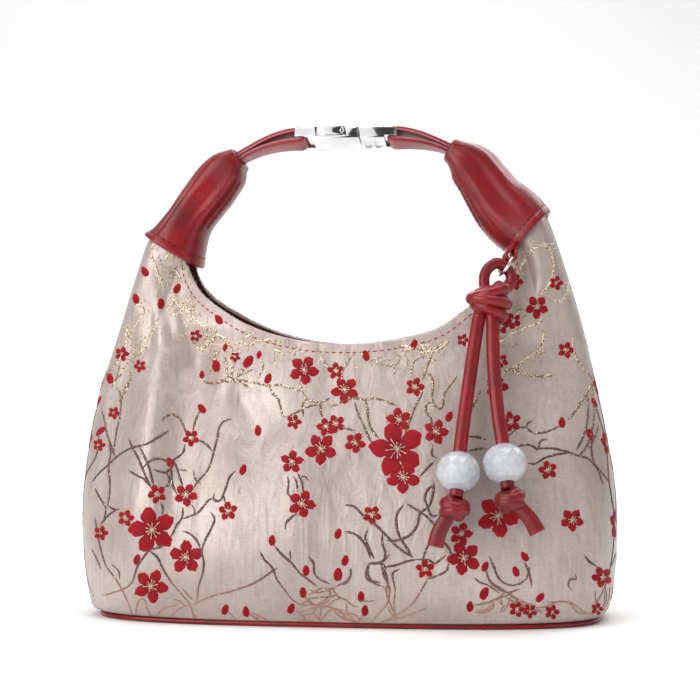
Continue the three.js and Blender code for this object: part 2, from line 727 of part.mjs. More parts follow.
function leverPin() {
  return geometryOf(crossBar(pinDiameter, claspDepth - clearance, pivot.x, pivot.z));
}

function tongueHalf() {
  const block = claspBlock(tongueBlockStart, tongueBlockEnd);
  const tongueEnd = leverBlockEnd - tongueLength + clearance;
  const half = tongueThickness / 2;
  const tongue = slab(tongueEnd, tongueBlockStart + clearance, -half, half, tongueWidth);
  const windowWidth = tongueBlockLength / 2 - 1.6;
  const underside = -claspTop;
  let body = joined(block, tongue, bail(tongueBlockEnd, -claspLeft));
  for (const start of [tongueBlockStart + 1.2, tongueBlockStart + 2 + windowWidth]) {
    const window = slab(start, start + windowWidth, underside - 1, underside + reliefDepth, claspDepth * 0.6);
    body = body.subtract(window);
  }
  return geometryOf(body);
}

// Charm

const ringHole = tabThickness + cordDiameter + 3 * clearance + ringSlack;
const ringRadius = (ringHole + ringWire) / 2; // to the wire's middle
const wireBow = ringRadius - Math.sqrt(ringRadius ** 2 - (tabWidth / 2) ** 2); // across the tab
const ringYaw = degrees(-20); // the ring is turned to the front by this much, seen from above
const tabTop = new THREE.Vector3(66, -11.2, 145.8); // under the right sleeve's edge
const tabLean = new THREE.Vector3(-0.18, -0.76, -0.63).normalize(); // from there down to the wire
const ringLean = new THREE.Vector3(-0.35, -0.5, -0.79).normalize(); // from the wire to the cord
const ringFacing = new THREE.Vector3(Math.sin(ringYaw), Math.cos(ringYaw), 0);
const ringSide = ringLean.clone().cross(ringFacing).normalize();
const ringAcross = ringSide.clone().cross(ringLean);
const ringWireTop = tabTop.clone().addScaledVector(tabLean, tabDrop);
const ringMiddle = ringWireTop.clone().addScaledVector(ringLean, ringRadius);

function charmTab() {
  return foldedBand({
    start: tabTop,
    startAhead: tabLean,
    startSide: ringSide,
    bar: ringWireTop,
    barAhead: ringLean,
    barSide: ringSide,
    barSize: ringWire + 2 * wireBow,
    width: tabWidth,
    thickness: tabThickness,
    runs: 3,
  });
}

function charmRing() {
  const ring = new THREE.TorusGeometry(ringRadius, ringWire / 2, 6, 16);
  const turn = new THREE.Matrix4().makeBasis(ringLean, ringAcross, ringLean.clone().cross(ringAcross));
  return ring.applyMatrix4(turn).translate(ringMiddle.x, ringMiddle.y, ringMiddle.z);
}

// The cord's routes, chosen by hand. The loop goes up from the knot, through the ring and back.
const loopRoute = [
  [55.4, -23.8, 131.2],
  [55.6, -22.6, 134.4],
  [57.2, -21.2, 137.2],
  [60.1, -20.3, 138.8],
  [63, -19.4, 137.3],
  [65, -18.9, 135],
  [65.6, -19.2, 132.4],
  [64.6, -19.9, 130],
  [63.3, -21, 129],
];
const knotMiddle = new THREE.Vector3(57.4, -26, 124.2);
const tails = {
  left: {
    route: [
      [53.7, -27.2, 117.9],
      [52.6, -30.2, 110],
      [51.4, -33.9, 100],
      [50.3, -37.7, 90],
      [49.2, -41.5, 80],
      [48, -46.3, 67.1],
      [47.6, -49, 60],
      [47.2, -51.5, 52.9],
      [47, -52.1, 50.9],
    ],
    bead: { place: [47.6, -49, 60], lean: [-0.056, -0.37, -1] },
    knot: [46.6, -53.2, 46.8],
    cut: [
      [43.6, -54, 42.8],
      [40.8, -54.5, 37.5],
      [39.6, -54.6, 32.6],
    ],
  },
  right: {
    route: [
      [58.9, -27.5, 118],
      [59.2, -30.4, 110],
      [59.7, -33.8, 100],
      [60.7, -37.3, 90],
      [62, -40.7, 80],
      [63.8, -44.1, 70.2],
      [64.8, -46.6, 63],
      [65.8, -49.1, 55.8],
      [66, -49.9, 53.8],
    ],
    bead: { place: [64.8, -46.6, 63], lean: [0.139, -0.35, -1] },
    knot: [67, -51.2, 49.8],
    cut: [
      [70.4, -52, 47.4],
      [74.4, -52.4, 43],
      [77.2, -52.4, 38],
    ],
  },
};
const asVectors = (route) => route.map((place) => new THREE.Vector3(...place));

function cordTube(route, steps) {
  const section = [];
  for (let k = 0; k < cordSides; k++) {
    const turn = (k / cordSides) * 2 * Math.PI;
    section.push(new THREE.Vector2((Math.cos(turn) * cordDiameter) / 2, (Math.sin(turn) * cordDiameter) / 2));
  }
  const extrudePath = new THREE.CatmullRomCurve3(asVectors(route), false, "centripetal");
  return new THREE.ExtrudeGeometry(new THREE.Shape(section), { extrudePath, steps, bevelEnabled: false });
}

// A knot: a squashed ball with turns of cord lying round it. Turns tilt about Y and X, in degrees.
function knot(width, depth, height, turns) {
  const cord = cordDiameter / 2;
  let body = solidOf(new THREE.SphereGeometry(1, 12, 8).rotateX(Math.PI / 2).scale(
    width / 2 - cord / 2,
    depth / 2 - cord / 2,
    height / 2 - cord / 4,
  ));
  for (const turn of turns) {
    const ring = new THREE.TorusGeometry(width / 2 - cord * 0.8, cord * 0.8, 6, 16);
    ring.scale(1, depth / width, 1);
    ring.rotateX(degrees(turn.pitch)).rotateY(degrees(turn.roll)).translate(0, 0, turn.lift * height);
    body = body.add(solidOf(ring));
  }
  return geometryOf(body);
}

const charmKnot = () =>
  knot(knotWidth, knotDepth, knotHeight, [
    { roll: -14, pitch: 6, lift: 0.16 },
    { roll: 12, pitch: -8, lift: -0.14 },
  ]);

function drilledBead() {
  const hole = cordDiameter / 2 + beadFit;
  const profile = [];
  const rows = 8;
  const start = Math.asin(hole / (beadDiameter / 2));
  for (let i = 0; i <= rows; i++) {
    const turn = lerp(start, Math.PI - start, i / rows);
    const height = (-Math.cos(turn) * beadHeight) / 2;
    profile.push(new THREE.Vector2((Math.sin(turn) * beadDiameter) / 2, height));
  }
  profile.push(profile[0].clone());
  return new THREE.LatheGeometry(profile, 16).rotateX(Math.PI / 2);
}

function endKnot(tail) {
  const turns = [{ roll: 10, pitch: 8, lift: 0 }];
  const ball = knot(endKnotWidth, endKnotWidth * 0.8, endKnotHeight, turns).translate(...tail.knot);
  return geometryOf(solidOf(ball).add(solidOf(cordTube([tail.knot, ...tail.cut], 6))));
}

// The purse

const purse = new THREE.Group();

function add(parent, name, geometry, material) {
  const mesh = new THREE.Mesh(geometry, material);
  mesh.name = name;
  parent.add(mesh);
  return mesh;
}

add(purse, "front_panel", brocadePanel("front"), brocade);
add(purse, "back_panel", brocadePanel("back"), brocade);
add(purse, "lining", liningBag(), darkCloth);
add(purse, "leather_base", basePanel(), redLeather);
add(purse, "base_piping", basePiping(), redLeather);
for (const [name, sleeve] of Object.entries(sleeves)) {
  add(purse, `sleeve_${name}`, leatherSleeve(sleeve), redLeather);
  add(purse, `strap_${name}`, handleStrap(sleeve), redLeather);
}

const clasp = new THREE.Group();
clasp.position.copy(claspPlace);
clasp.quaternion.copy(claspTurn);
add(clasp, "clasp_left", leverHalf(), chrome);
add(clasp, "clasp_lever", thumbLever(), chrome);
add(clasp, "lever_pin", leverPin(), chrome);
add(clasp, "clasp_right", tongueHalf(), chrome);
purse.add(clasp);

add(purse, "charm_tab", charmTab(), redLeather);
add(purse, "charm_ring", charmRing(), chrome);
add(purse, "charm_loop", cordTube(loopRoute, 16), redLeather);
add(purse, "charm_knot", charmKnot(), redLeather).position.copy(knotMiddle);
for (const [name, tail] of Object.entries(tails)) {
  add(purse, `charm_tail_${name}`, cordTube(tail.route, 12), redLeather);
  const bead = add(purse, `bead_${name}`, drilledBead(), frostedGlass);
  bead.position.set(...tail.bead.place);
  bead.quaternion.setFromUnitVectors(
    new THREE.Vector3(0, 0, -1),
    new THREE.Vector3(...tail.bead.lean).normalize(),
  );
  add(purse, `end_knot_${name}`, endKnot(tail), redLeather);
}

export default purse;
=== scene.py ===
# %% [markdown]
# # A small brocade purse
# The purse stands on a leather base. Two panels of brocade rise from it to a curved mouth between two
# horns, leather sleeves gather the horns, and a doubled strap with a plated clasp joins them. This
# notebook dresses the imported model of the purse. It loads that model first, so every piece made below
# lies in the same frame, in metres, with +Z up and the front facing -Y.

# %% Loading the purse's frame
import math
import random

import bmesh
import bpy
import numpy as np
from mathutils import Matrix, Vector
from mathutils.bvhtree import BVHTree


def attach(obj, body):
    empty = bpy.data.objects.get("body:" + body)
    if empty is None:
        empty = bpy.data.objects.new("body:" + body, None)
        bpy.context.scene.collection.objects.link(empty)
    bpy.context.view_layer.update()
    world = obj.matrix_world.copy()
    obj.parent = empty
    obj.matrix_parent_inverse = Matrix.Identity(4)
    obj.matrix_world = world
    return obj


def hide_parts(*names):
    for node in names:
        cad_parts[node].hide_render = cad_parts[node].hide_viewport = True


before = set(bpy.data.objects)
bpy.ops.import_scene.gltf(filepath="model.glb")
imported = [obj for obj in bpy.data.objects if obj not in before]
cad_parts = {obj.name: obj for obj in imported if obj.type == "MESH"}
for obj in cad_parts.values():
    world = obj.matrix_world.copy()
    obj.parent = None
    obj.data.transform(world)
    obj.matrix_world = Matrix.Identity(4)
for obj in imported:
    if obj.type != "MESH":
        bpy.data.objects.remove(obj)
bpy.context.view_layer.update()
MM = 0.001
print("pieces in the frame:", len(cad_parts))

# %% [markdown]
# ## The camera
# The purse was photographed from its own height and a little from the right, with a long lens, so its
# upright lines stay upright. A camera is a place, a direction and a lens. Here the lens is worked out
# from how many millimetres of purse one pixel shows at the middle of the bag, which keeps sizes true.

# %% Placing the camera
VIEW_YAW = math.radians(8)
VIEW_DISTANCE = 0.8
VIEW_HEIGHT = 0.1053
PHOTO_PIXELS = 700
PIXEL = 0.0004  # metres of purse in one pixel at the view distance
SENSOR_WIDTH = 36  # millimetres
AHEAD = Vector((-math.sin(VIEW_YAW), math.cos(VIEW_YAW), 0))
RIGHT = Vector((math.cos(VIEW_YAW), math.sin(VIEW_YAW), 0))

camera_data = bpy.data.cameras.new("camera")
camera_data.sensor_width = SENSOR_WIDTH
camera_data.lens = SENSOR_WIDTH * VIEW_DISTANCE / (PIXEL * PHOTO_PIXELS)
camera = bpy.data.objects.new("camera", camera_data)
bpy.context.scene.collection.objects.link(camera)
camera.location = Vector((0, 0, VIEW_HEIGHT)) - AHEAD * VIEW_DISTANCE
camera.rotation_euler = (math.pi / 2, 0, VIEW_YAW)
bpy.context.scene.camera = camera
print("lens", round(camera_data.lens, 1), "mm")

# %% [markdown]
# ## Light and floor
# A pale sweep of card stands under and behind the purse, so no edge shows. Satin and chrome look like
# what is reflected in them. A large soft lamp stands at the left, a weaker one at the right lets that
# side of the cloth fall into shade, and a long one overhead lights the rim and the sleeves. Two cards, a
# white and a black one, are seen only as reflections in the clasp.

# %% Making the sweep and the lamps
SWEEP_NEAR, SWEEP_BEND, SWEEP_TOP, SWEEP_HALF_WIDTH = -1.6, 0.5, 2.4, 2.2  # metres


def add_object(name, data):
    made = bpy.data.objects.new(name, data)
    bpy.context.scene.collection.objects.link(made)
    return made


def sweep_card():
    turns = np.linspace(0.1, math.pi / 2, 12)
    bend = [(SWEEP_BEND + SWEEP_BEND * math.sin(t), SWEEP_BEND - SWEEP_BEND * math.cos(t)) for t in turns]
    profile = [(SWEEP_NEAR, 0), (SWEEP_BEND, 0), *bend, (2 * SWEEP_BEND, SWEEP_TOP)]
    corners = [(x, y, z) for y, z in profile for x in (-SWEEP_HALF_WIDTH, SWEEP_HALF_WIDTH)]
    faces = [(i, i + 1, i + 3, i + 2) for i in range(0, 2 * len(profile) - 2, 2)]
    mesh = bpy.data.meshes.new("sweep")
    mesh.from_pydata(corners, [], faces)
    mesh.polygons.foreach_set("use_smooth", [True] * len(faces))
    return add_object("sweep", mesh)


def lamp(name, place, aim_height, size, power):
    """A soft oblong lamp, pointed at a height over the middle of the purse."""
    data = bpy.data.lights.new(name, "AREA")
    data.shape = "RECTANGLE"
    data.size, data.size_y = size
    data.energy = power
    made = add_object(name, data)
    made.location = place
    aim = Vector((0, 0, aim_height)) - Vector(place)
    made.rotation_euler = aim.to_track_quat("-Z", "Y").to_euler()


sweep = sweep_card()
card = bpy.data.materials.new("pale card")
card.use_nodes = True
card_shader = card.node_tree.nodes["Principled BSDF"]
card_shader.inputs["Base Color"].default_value = (0.96, 0.96, 0.96, 1)
card_shader.inputs["Roughness"].default_value = 0.9
sweep.data.materials.append(card)

world = bpy.data.worlds.new("studio")
world.use_nodes = True
world.node_tree.nodes["Background"].inputs["Color"].default_value = (1, 1, 1, 1)
world.node_tree.nodes["Background"].inputs["Strength"].default_value = 0.34
bpy.context.scene.world = world
bpy.context.scene.view_settings.view_transform = "Standard"

lamp("lamp_left", (-0.7, -0.9, 0.56), 0.08, (1.1, 0.9), 10.5)
lamp("lamp_right", (0.9, -0.6, 0.35), 0.08, (0.5, 0.7), 0.7)
lamp("lamp_top", (0.0, -0.1, 0.95), 0.1, (0.9, 0.5), 4.8)
lamp("lamp_back", (0.2, 0.8, 0.9), 0.6, (1.6, 0.6), 9)


def reflection_card(name, left, right, glow):
    """A card above and in front, seen only as a reflection in the plated clasp."""
    corners = [(x, -0.33 + up * 0.66, 0.49 + up * 0.73) for up in (-0.18, 0.18) for x in (left, right)]
    mesh = bpy.data.meshes.new(name)
    mesh.from_pydata(corners, [], [(0, 1, 3, 2)])
    card = add_object(name, mesh)
    card.visible_camera = card.visible_diffuse = card.visible_shadow = False
    finish = bpy.data.materials.new(name)
    finish.use_nodes = True
    shader = finish.node_tree.nodes["Principled BSDF"]
    shader.inputs["Base Color"].default_value = (0.02, 0.02, 0.02, 1)
    shader.inputs["Emission Color"].default_value = (1, 1, 1, 1)
    shader.inputs["Emission Strength"].default_value = glow
    mesh.materials.append(finish)


reflection_card("white_card", -0.34, -0.062, 1.1)
reflection_card("dark_card", -0.06, 0.1, 0.0)

# %% [markdown]
# ## The charm's cord
# Two tails of stitched leather cord hang from the knot, each through a bead to a knot of its own. They
# are the only free cords on the purse. A maker settles a cord's route before its shape, so the same
# places that the model was built from are written here, and a smooth curve is drawn through them.

# %% Routes of the cord, in millimetres
LOOP_ROUTE = [
    (55.4, -23.8, 131.2), (55.6, -22.6, 134.4), (57.2, -21.2, 137.2), (60.1, -20.3, 138.8),
    (63, -19.4, 137.3), (65, -18.9, 135), (65.6, -19.2, 132.4), (64.6, -19.9, 130), (63.3, -21, 129),
]
KNOT_MIDDLE = (57.4, -26, 124.2)
TAILS = {
    "left": {
        "route": [
            (54.6, -26.6, 121), (53.7, -27.2, 117.9), (52.6, -30.2, 110), (51.4, -33.9, 100),
            (50.3, -37.7, 90), (49.2, -41.5, 80), (48, -46.3, 67.1), (47.6, -49, 60), (47.2, -51.5, 52.9),
            (47, -52.1, 50.9),
        ],
        "bead": (47.6, -49, 60),
        "lean": (-0.056, -0.37, -1),
        "knot": (46.6, -53.2, 46.8),
        "cut": [(43.6, -54, 42.8), (40.8, -54.5, 37.5), (39.6, -54.6, 32.6)],
    },
    "right": {
        "route": [
            (58.7, -26.8, 121), (58.9, -27.5, 118), (59.2, -30.4, 110), (59.7, -33.8, 100),
            (60.7, -37.3, 90), (62, -40.7, 80), (63.8, -44.1, 70.2), (64.8, -46.6, 63), (65.8, -49.1, 55.8),
            (66, -49.9, 53.8),
        ],
        "bead": (64.8, -46.6, 63),
        "lean": (0.139, -0.35, -1),
        "knot": (67, -51.2, 49.8),
        "cut": [(70.4, -52, 47.4), (74.4, -52.4, 43), (77.2, -52.4, 38)],
    },
}
CORD_DIAMETER = 4.6


def distances(line):
    """How far along a line each of its places lies."""
    return np.concatenate([[0], np.cumsum(np.linalg.norm(np.diff(line, axis=0), axis=1))])


def evenly(line, count, endpoint=True):
    """Evenly spaced places along a line."""
    travelled = distances(line)
    even = np.linspace(0, travelled[-1], count, endpoint=endpoint)
    return np.stack([np.interp(even, travelled, line[:, k]) for k in range(line.shape[1])], 1)


def smooth_line(points, count):
    """Evenly spaced places on a smooth curve through the points."""
    p = np.array(points, float)
    p = np.vstack([2 * p[0] - p[1], p, 2 * p[-1] - p[-2]])
    runs = []
    for a, b, c, d in zip(p[:-3], p[1:-2], p[2:-1], p[3:]):
        before, here, after = (math.sqrt(np.linalg.norm(v)) for v in (b - a, c - b, d - c))
        start = ((b - a) / before - (c - a) / (before + here) + (c - b) / here) * here
        end = ((c - b) / here - (d - b) / (here + after) + (d - c) / after) * here
        t = np.linspace(0, 1, 24, endpoint=False)[:, None]
        bent = t * t * (3 * (c - b) - 2 * start - end) + t**3 * (2 * (b - c) + start + end)
        runs.append(b + t * start + bent)
    return evenly(np.vstack([*runs, p[-2]]), count)


def length_of(line):
    return float(np.linalg.norm(np.diff(line, axis=0), axis=1).sum())


for side, tail in TAILS.items():
    print(side, "tail", round(length_of(smooth_line(tail["route"], 200)), 1), "mm")

# %% [markdown]
# ## Meshes from grids
# Most pieces are skins: rows of points joined by quads. One helper turns a grid of points into a mesh,
# closed round one way or both when asked, and a second one sweeps a section along a line, keeping it
# from twisting. Everything is worked out in millimetres and made in metres.

# %% Skin and sweep helpers
def grid_faces(rows, columns, close_rows, close_columns, caps):
    """Quads over a grid of points, and a face over each end when asked."""
    r = np.arange(rows if close_rows else rows - 1)
    c = np.arange(columns if close_columns else columns - 1)
    i, j = np.meshgrid(r, c, indexing="ij")
    below, beside = (i + 1) % rows, (j + 1) % columns
    quads = np.stack([i * columns + j, i * columns + beside, below * columns + beside, below * columns + j], -1)
    faces = quads.reshape(-1, 4).tolist()
    if caps:
        faces += [list(range(columns))[::-1], list(range((rows - 1) * columns, rows * columns))]
    return faces


def mesh_of(name, points, faces):
    """A smooth mesh of points given in millimetres."""
    mesh = bpy.data.meshes.new(name)
    mesh.from_pydata((np.array(points) * MM).tolist(), [], faces)
    mesh.polygons.foreach_set("use_smooth", [True] * len(mesh.polygons))
    return mesh


def merged(name, grids, close_rows=False, close_columns=True, caps=False):
    """One mesh over several grids of points (rows, columns, 3), in millimetres."""
    points, faces = [], []
    for grid in grids:
        start = len(points)
        points += grid.reshape(-1, 3).tolist()
        own = grid_faces(*grid.shape[:2], close_rows, close_columns, caps)
        faces += [[start + k for k in face] for face in own]
    mesh = mesh_of(name, points, faces)
    fixed = bmesh.new()
    fixed.from_mesh(mesh)
    bmesh.ops.recalc_face_normals(fixed, faces=fixed.faces)
    fixed.to_mesh(mesh)
    fixed.free()
    return add_object(name, mesh)


def sheet(name, grid):
    return merged(name, [grid], close_columns=False)


def rod(name, grid):
    """A skin closed round its rows, with both ends capped."""
    return merged(name, [grid], caps=True)


def hoop(name, grid):
    """A skin closed round both ways."""
    return merged(name, [grid], close_rows=True)


def frames_along(line, first_side, closed=False):
    """A side and an up direction at each place of a line, carried along without twisting."""
    ahead = np.roll(line, -1, 0) - np.roll(line, 1, 0) if closed else np.gradient(line, axis=0)
    ahead /= np.linalg.norm(ahead, axis=1)[:, None]
    side = np.array(first_side, float)
    sides = []
    for t in ahead:
        side = side - t * side.dot(t)
        side /= np.linalg.norm(side)
        sides.append(side)
    sides = np.array(sides)
    return sides, np.cross(ahead, sides)


def swept(line, section, first_side, closed=False, scale=None):
    """The grid of a section (n, 2), in side and up, swept along a line."""
    sides, ups = frames_along(line, first_side, closed)
    section = np.array(section, float)
    scale = np.ones(len(line)) if scale is None else np.array(scale)
    across = section[None, :, 0, None] * scale[:, None, None] * sides[:, None, :]
    away = section[None, :, 1, None] * scale[:, None, None] * ups[:, None, :]
    return line[:, None, :] + across + away


def oval(width, height, count=20):
    turn = np.arange(count) / count * 2 * math.pi
    return np.stack([np.cos(turn) * width / 2, np.sin(turn) * height / 2], 1)


def finish_piece(piece, material, slot_name, *nodes, body="purse"):
    piece.data.materials.append(material)
    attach(piece, body)
    if nodes:
        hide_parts(*nodes)
    return piece


def place_all(places, name, material, slot_name):
    """Many small closed meshes, each (points, faces), as one piece."""
    points, faces = [], []
    for some_points, some_faces in places:
        start = len(points)
        points += [tuple(p) for p in some_points]
        faces += [tuple(start + k for k in face) for face in some_faces]
    return finish_piece(add_object(name, mesh_of(name, points, faces)), material, slot_name)


print("helpers ready")

# %% [markdown]
# ## Finishes
# Shader node groups hold the effects that several finishes share: a woven surface, leather grain and a
# slow wander of tone. Each group gives a mask or a height that changes over the surface, and each
# material joins it to its own shader, so the same leather grain can be fine on the cord and coarser on
# the sleeves.

# %% Node helpers and shared groups
def tone(red, green, blue):
    """A colour as seen on a screen, 0 to 255, in the renderer's own scale."""
    share = [c / 255 for c in (red, green, blue)]
    return (*[c / 12.92 if c <= 0.04045 else ((c + 0.055) / 1.055) ** 2.4 for c in share], 1)


def new_group(name, inputs, outputs):
    group = bpy.data.node_groups.new(name, "ShaderNodeTree")
    for socket, value in inputs.items():
        made = group.interface.new_socket(socket, in_out="INPUT", socket_type="NodeSocketFloat")
        made.default_value = value
    for socket in outputs:
        group.interface.new_socket(socket, in_out="OUTPUT", socket_type="NodeSocketFloat")
    return group, group.nodes.new("NodeGroupInput"), group.nodes.new("NodeGroupOutput")


def fill(tree, made, inputs):
    """Joins a node's inputs to other nodes, or sets them to constants."""
    for key, value in inputs.items():
        if isinstance(value, bpy.types.NodeSocket):
            tree.links.new(value, made.inputs[key])
        else:
            made.inputs[key].default_value = value


def node(tree, kind, inputs=None, **settings):
    made = tree.nodes.new(kind)
    for key, value in settings.items():
        setattr(made, key, value)
    fill(tree, made, inputs or {})
    return made


def maths(tree, operation, first, second):
    return node(tree, "ShaderNodeMath", {0: first, 1: second}, operation=operation).outputs[0]


def ranged(tree, value, low, high, start=0.0, end=1.0):
    """A value moved from one range to another."""
    limits = {"From Min": low, "From Max": high, "To Min": start, "To Max": end}
    return node(tree, "ShaderNodeMapRange", {"Value": value, **limits}).outputs[0]


def noise(tree, place, scale, **more):
    return node(tree, "ShaderNodeTexNoise", {"Vector": place, "Scale": scale, **more}).outputs["Fac"]


def mix(tree, mask, first, second):
    """A colour between two, by a mask."""
    return node(tree, "ShaderNodeMix", {0: mask, 6: first, 7: second}, data_type="RGBA").outputs[2]


def place_on(tree):
    """The place on the purse, in metres."""
    return node(tree, "ShaderNodeTexCoord").outputs["Object"]


def stretched_place(tree, *stretch):
    """The place on the purse, multiplied along X, Y and Z."""
    sizes = {0: place_on(tree), 1: stretch}
    return node(tree, "ShaderNodeVectorMath", sizes, operation="MULTIPLY").outputs[0]


def woven_group():
    """Satin with short floats across it and long, wandering slubs down it."""
    group, given, out = new_group("woven satin", {"Slub": 0.5}, ["Height", "Floats", "Slubs"])
    floats = noise(group, stretched_place(group, 420, 420, 2300), 1.0, Detail=2.0, Roughness=0.6)
    wavy = stretched_place(group, 520, 520, 60)
    slubs = ranged(group, noise(group, wavy, 1.0, Detail=3.0, Roughness=0.65, Distortion=0.6), 0.42, 0.68)
    height = maths(group, "ADD", maths(group, "MULTIPLY", slubs, given.outputs["Slub"]), floats)
    fill(group, out, {"Height": height, "Floats": floats, "Slubs": slubs})
    return group


def grain_group():
    """Pebbled leather: small cells with soft valleys between, over a finer tooth."""
    group, given, out = new_group("leather grain", {"Size": 1.0}, ["Height", "Valleys"])
    place = place_on(group)
    size = maths(group, "DIVIDE", 1100.0, given.outputs["Size"])
    cells = node(group, "ShaderNodeTexVoronoi", {"Vector": place, "Scale": size}, feature="SMOOTH_F1")
    valleys = cells.outputs["Distance"]
    tooth = maths(group, "MULTIPLY", noise(group, place, 3000.0, Detail=2.0), 0.35)
    fill(group, out, {"Height": maths(group, "ADD", valleys, tooth), "Valleys": valleys})
    return group


def wander_group():
    """A slow change from place to place, 0 to 1, for tone and wear."""
    group, given, out = new_group("slow wander", {"Scale": 40.0}, ["Mask"])
    cloud = noise(group, place_on(group), given.outputs["Scale"], Detail=4.0, Roughness=0.55)
    fill(group, out, {"Mask": ranged(group, cloud, 0.34, 0.66)})
    return group


WOVEN, GRAIN, WANDER = woven_group(), grain_group(), wander_group()


def new_material(name):
    material = bpy.data.materials.new(name)
    material.use_nodes = True
    tree = material.node_tree
    return material, tree, tree.nodes["Principled BSDF"]


def use_group(tree, group, **values):
    """The outputs of a shared group, used with these values."""
    made = tree.nodes.new("ShaderNodeGroup")
    made.node_tree = group
    fill(tree, made, values)
    return made.outputs


def wander(tree, scale):
    return use_group(tree, WANDER, Scale=scale)["Mask"]


def bump(tree, shader, height, strength, distance, under=None):
    """Gives a shader small relief, laid over another relief when one is given."""
    inputs = {"Height": height, "Strength": strength, "Distance": distance}
    if under is not None:
        inputs["Normal"] = under
    relief = node(tree, "ShaderNodeBump", inputs).outputs[0]
    tree.links.new(relief, shader.inputs["Normal"])
    return relief


def set_shader(tree, shader, **values):
    fill(tree, shader, {key.replace("_", " "): value for key, value in values.items()})


print("groups:", [group.name for group in bpy.data.node_groups])

# %% [markdown]
# The ground of the brocade is champagne satin. Its floats catch the light in short ticks, the slubs run
# down it as faint wavy lines, and the tone wanders from pearl to rose grey. The lining is plain dark
# cloth with the same weave, and no gloss.

# %% Cloth finishes
def brocade_material():
    material, tree, shader = new_material("champagne brocade")
    weave = use_group(tree, WOVEN, Slub=0.5)
    ground = mix(tree, wander(tree, 22.0), tone(172, 157, 151), tone(196, 183, 177))
    slubbed = mix(tree, maths(tree, "MULTIPLY", weave["Slubs"], 0.4), ground, tone(158, 140, 136))
    ticks = ranged(tree, weave["Floats"], 0.4, 0.7, 0.0, 0.3)
    crinkle = noise(tree, stretched_place(tree, 150, 150, 38), 1.0, Detail=3.0, Distortion=0.8)
    crumple = bump(tree, shader, crinkle, 0.32, 0.0022)
    bump(tree, shader, weave["Height"], 0.14, 0.0002, crumple)
    set_shader(
        tree, shader, Base_Color=mix(tree, ticks, slubbed, tone(147, 127, 121)), Metallic=0.34,
        Roughness=ranged(tree, weave["Floats"], 0, 1, 0.3, 0.5), Specular_IOR_Level=0.6,
    )
    return material


def lining_material():
    material, tree, shader = new_material("dark lining")
    weave = use_group(tree, WOVEN, Slub=0.3)
    bump(tree, shader, weave["Height"], 0.4, 0.0002)
    colour = mix(tree, weave["Floats"], tone(70, 14, 22), tone(96, 26, 34))
    set_shader(tree, shader, Base_Color=colour, Roughness=0.85, Sheen_Weight=0.2)
    return material


def petal_material():
    """Red weave, darker where a blossom's attribute says: its dark heart with painted shade round it, and painted
    shade between petals.
    """
    material, tree, shader = new_material("red petal weave")
    weave = use_group(tree, WOVEN, Slub=0.2)
    heart_and_gap_shade = node(tree, "ShaderNodeAttribute", attribute_name="heart_and_gap_shade").outputs["Fac"]
    bright = mix(tree, wander(tree, 260.0), tone(184, 8, 30), tone(150, 6, 24))
    # Painted shade: darker between the petals, and darker towards the middle, where the blossom's own dark heart
    # also is.
    dark = mix(tree, heart_and_gap_shade, bright, tone(84, 6, 14))
    bump(tree, shader, weave["Height"], 0.6, 0.0003)
    colour = mix(tree, weave["Floats"], dark, tone(132, 6, 22))
    set_shader(tree, shader, Base_Color=colour, Roughness=0.72, Specular_IOR_Level=0.22)
    return material


def branch_material():
    """Brown thread twisted with metal: gold shows high on the bag, and rose-brown near its foot."""
    material, tree, shader = new_material("metallic branch thread")
    place = place_on(tree)
    height = node(tree, "ShaderNodeSeparateXYZ", {0: place}).outputs["Z"]
    upper = ranged(tree, height, 0.068, 0.112)
    foot = ranged(tree, height, 0.022, 0.006)
    twist = noise(tree, place, 1500.0, Detail=2.0)
    least = maths(tree, "SUBTRACT", 0.66, maths(tree, "MULTIPLY", upper, 0.2))
    glint = maths(tree, "GREATER_THAN", twist, least)
    body = mix(tree, upper, tone(88, 56, 50), tone(134, 106, 82))
    brown = mix(tree, foot, body, tone(166, 122, 106))
    bump(tree, shader, twist, 0.6, 0.0003)
    set_shader(
        tree, shader, Base_Color=mix(tree, glint, brown, tone(226, 210, 184)),
        Metallic=maths(tree, "MULTIPLY", glint, 0.85), Roughness=0.4,
    )
    return material


def gold_material():
    material, tree, shader = new_material("gold stamen thread")
    twist = noise(tree, place_on(tree), 1500.0, Detail=1.0)
    bump(tree, shader, twist, 0.5, 0.0002)
    colour = mix(tree, twist, tone(150, 122, 92), tone(236, 224, 202))
    set_shader(tree, shader, Base_Color=colour, Roughness=0.35, Metallic=0.7)
    return material


BROCADE, LINING, PETAL = brocade_material(), lining_material(), petal_material()
BRANCH, GOLD = branch_material(), gold_material()
print("cloth finishes:", BROCADE.name, LINING.name, PETAL.name, BRANCH.name, GOLD.name)

# %% [markdown]
# The leather is red calf with a fine pebble and a half gloss. It is darker in its valleys and a little
# paler and pinker where light grazes it. The strap's back is dull mauve. The metal is chrome plate, and
# the beads are pale glass with a frosted skin.

# %% Leather, chrome and glass finishes
def leather_material(name, light, dark, grain, roughness, depth):
    material, tree, shader = new_material(name)
    pebble, drift = use_group(tree, GRAIN, Size=grain), wander(tree, 55.0)
    valley = ranged(tree, pebble["Valleys"], 0.2, 0.8, 0.0, 0.4)
    bump(tree, shader, pebble["Height"], depth, 0.0002)
    set_shader(
        tree, shader, Base_Color=mix(tree, valley, mix(tree, drift, light, dark), dark), Sheen_Weight=0.04,
        Roughness=ranged(tree, drift, 0, 1, roughness - 0.06, roughness + 0.08), Specular_IOR_Level=0.45,
    )
    return material


def plain_material(name, colour, roughness, metallic=0.0, depth=0.1):
    material, tree, shader = new_material(name)
    drift = wander(tree, 120.0)
    dull = tuple(c * 0.82 for c in colour[:3]) + (1,)
    bump(tree, shader, noise(tree, place_on(tree), 900.0), depth, 0.0001)
    set_shader(
        tree, shader, Base_Color=mix(tree, drift, colour, dull), Metallic=metallic,
        Roughness=ranged(tree, drift, 0, 1, roughness * 0.8, roughness * 1.25),
    )
    return material


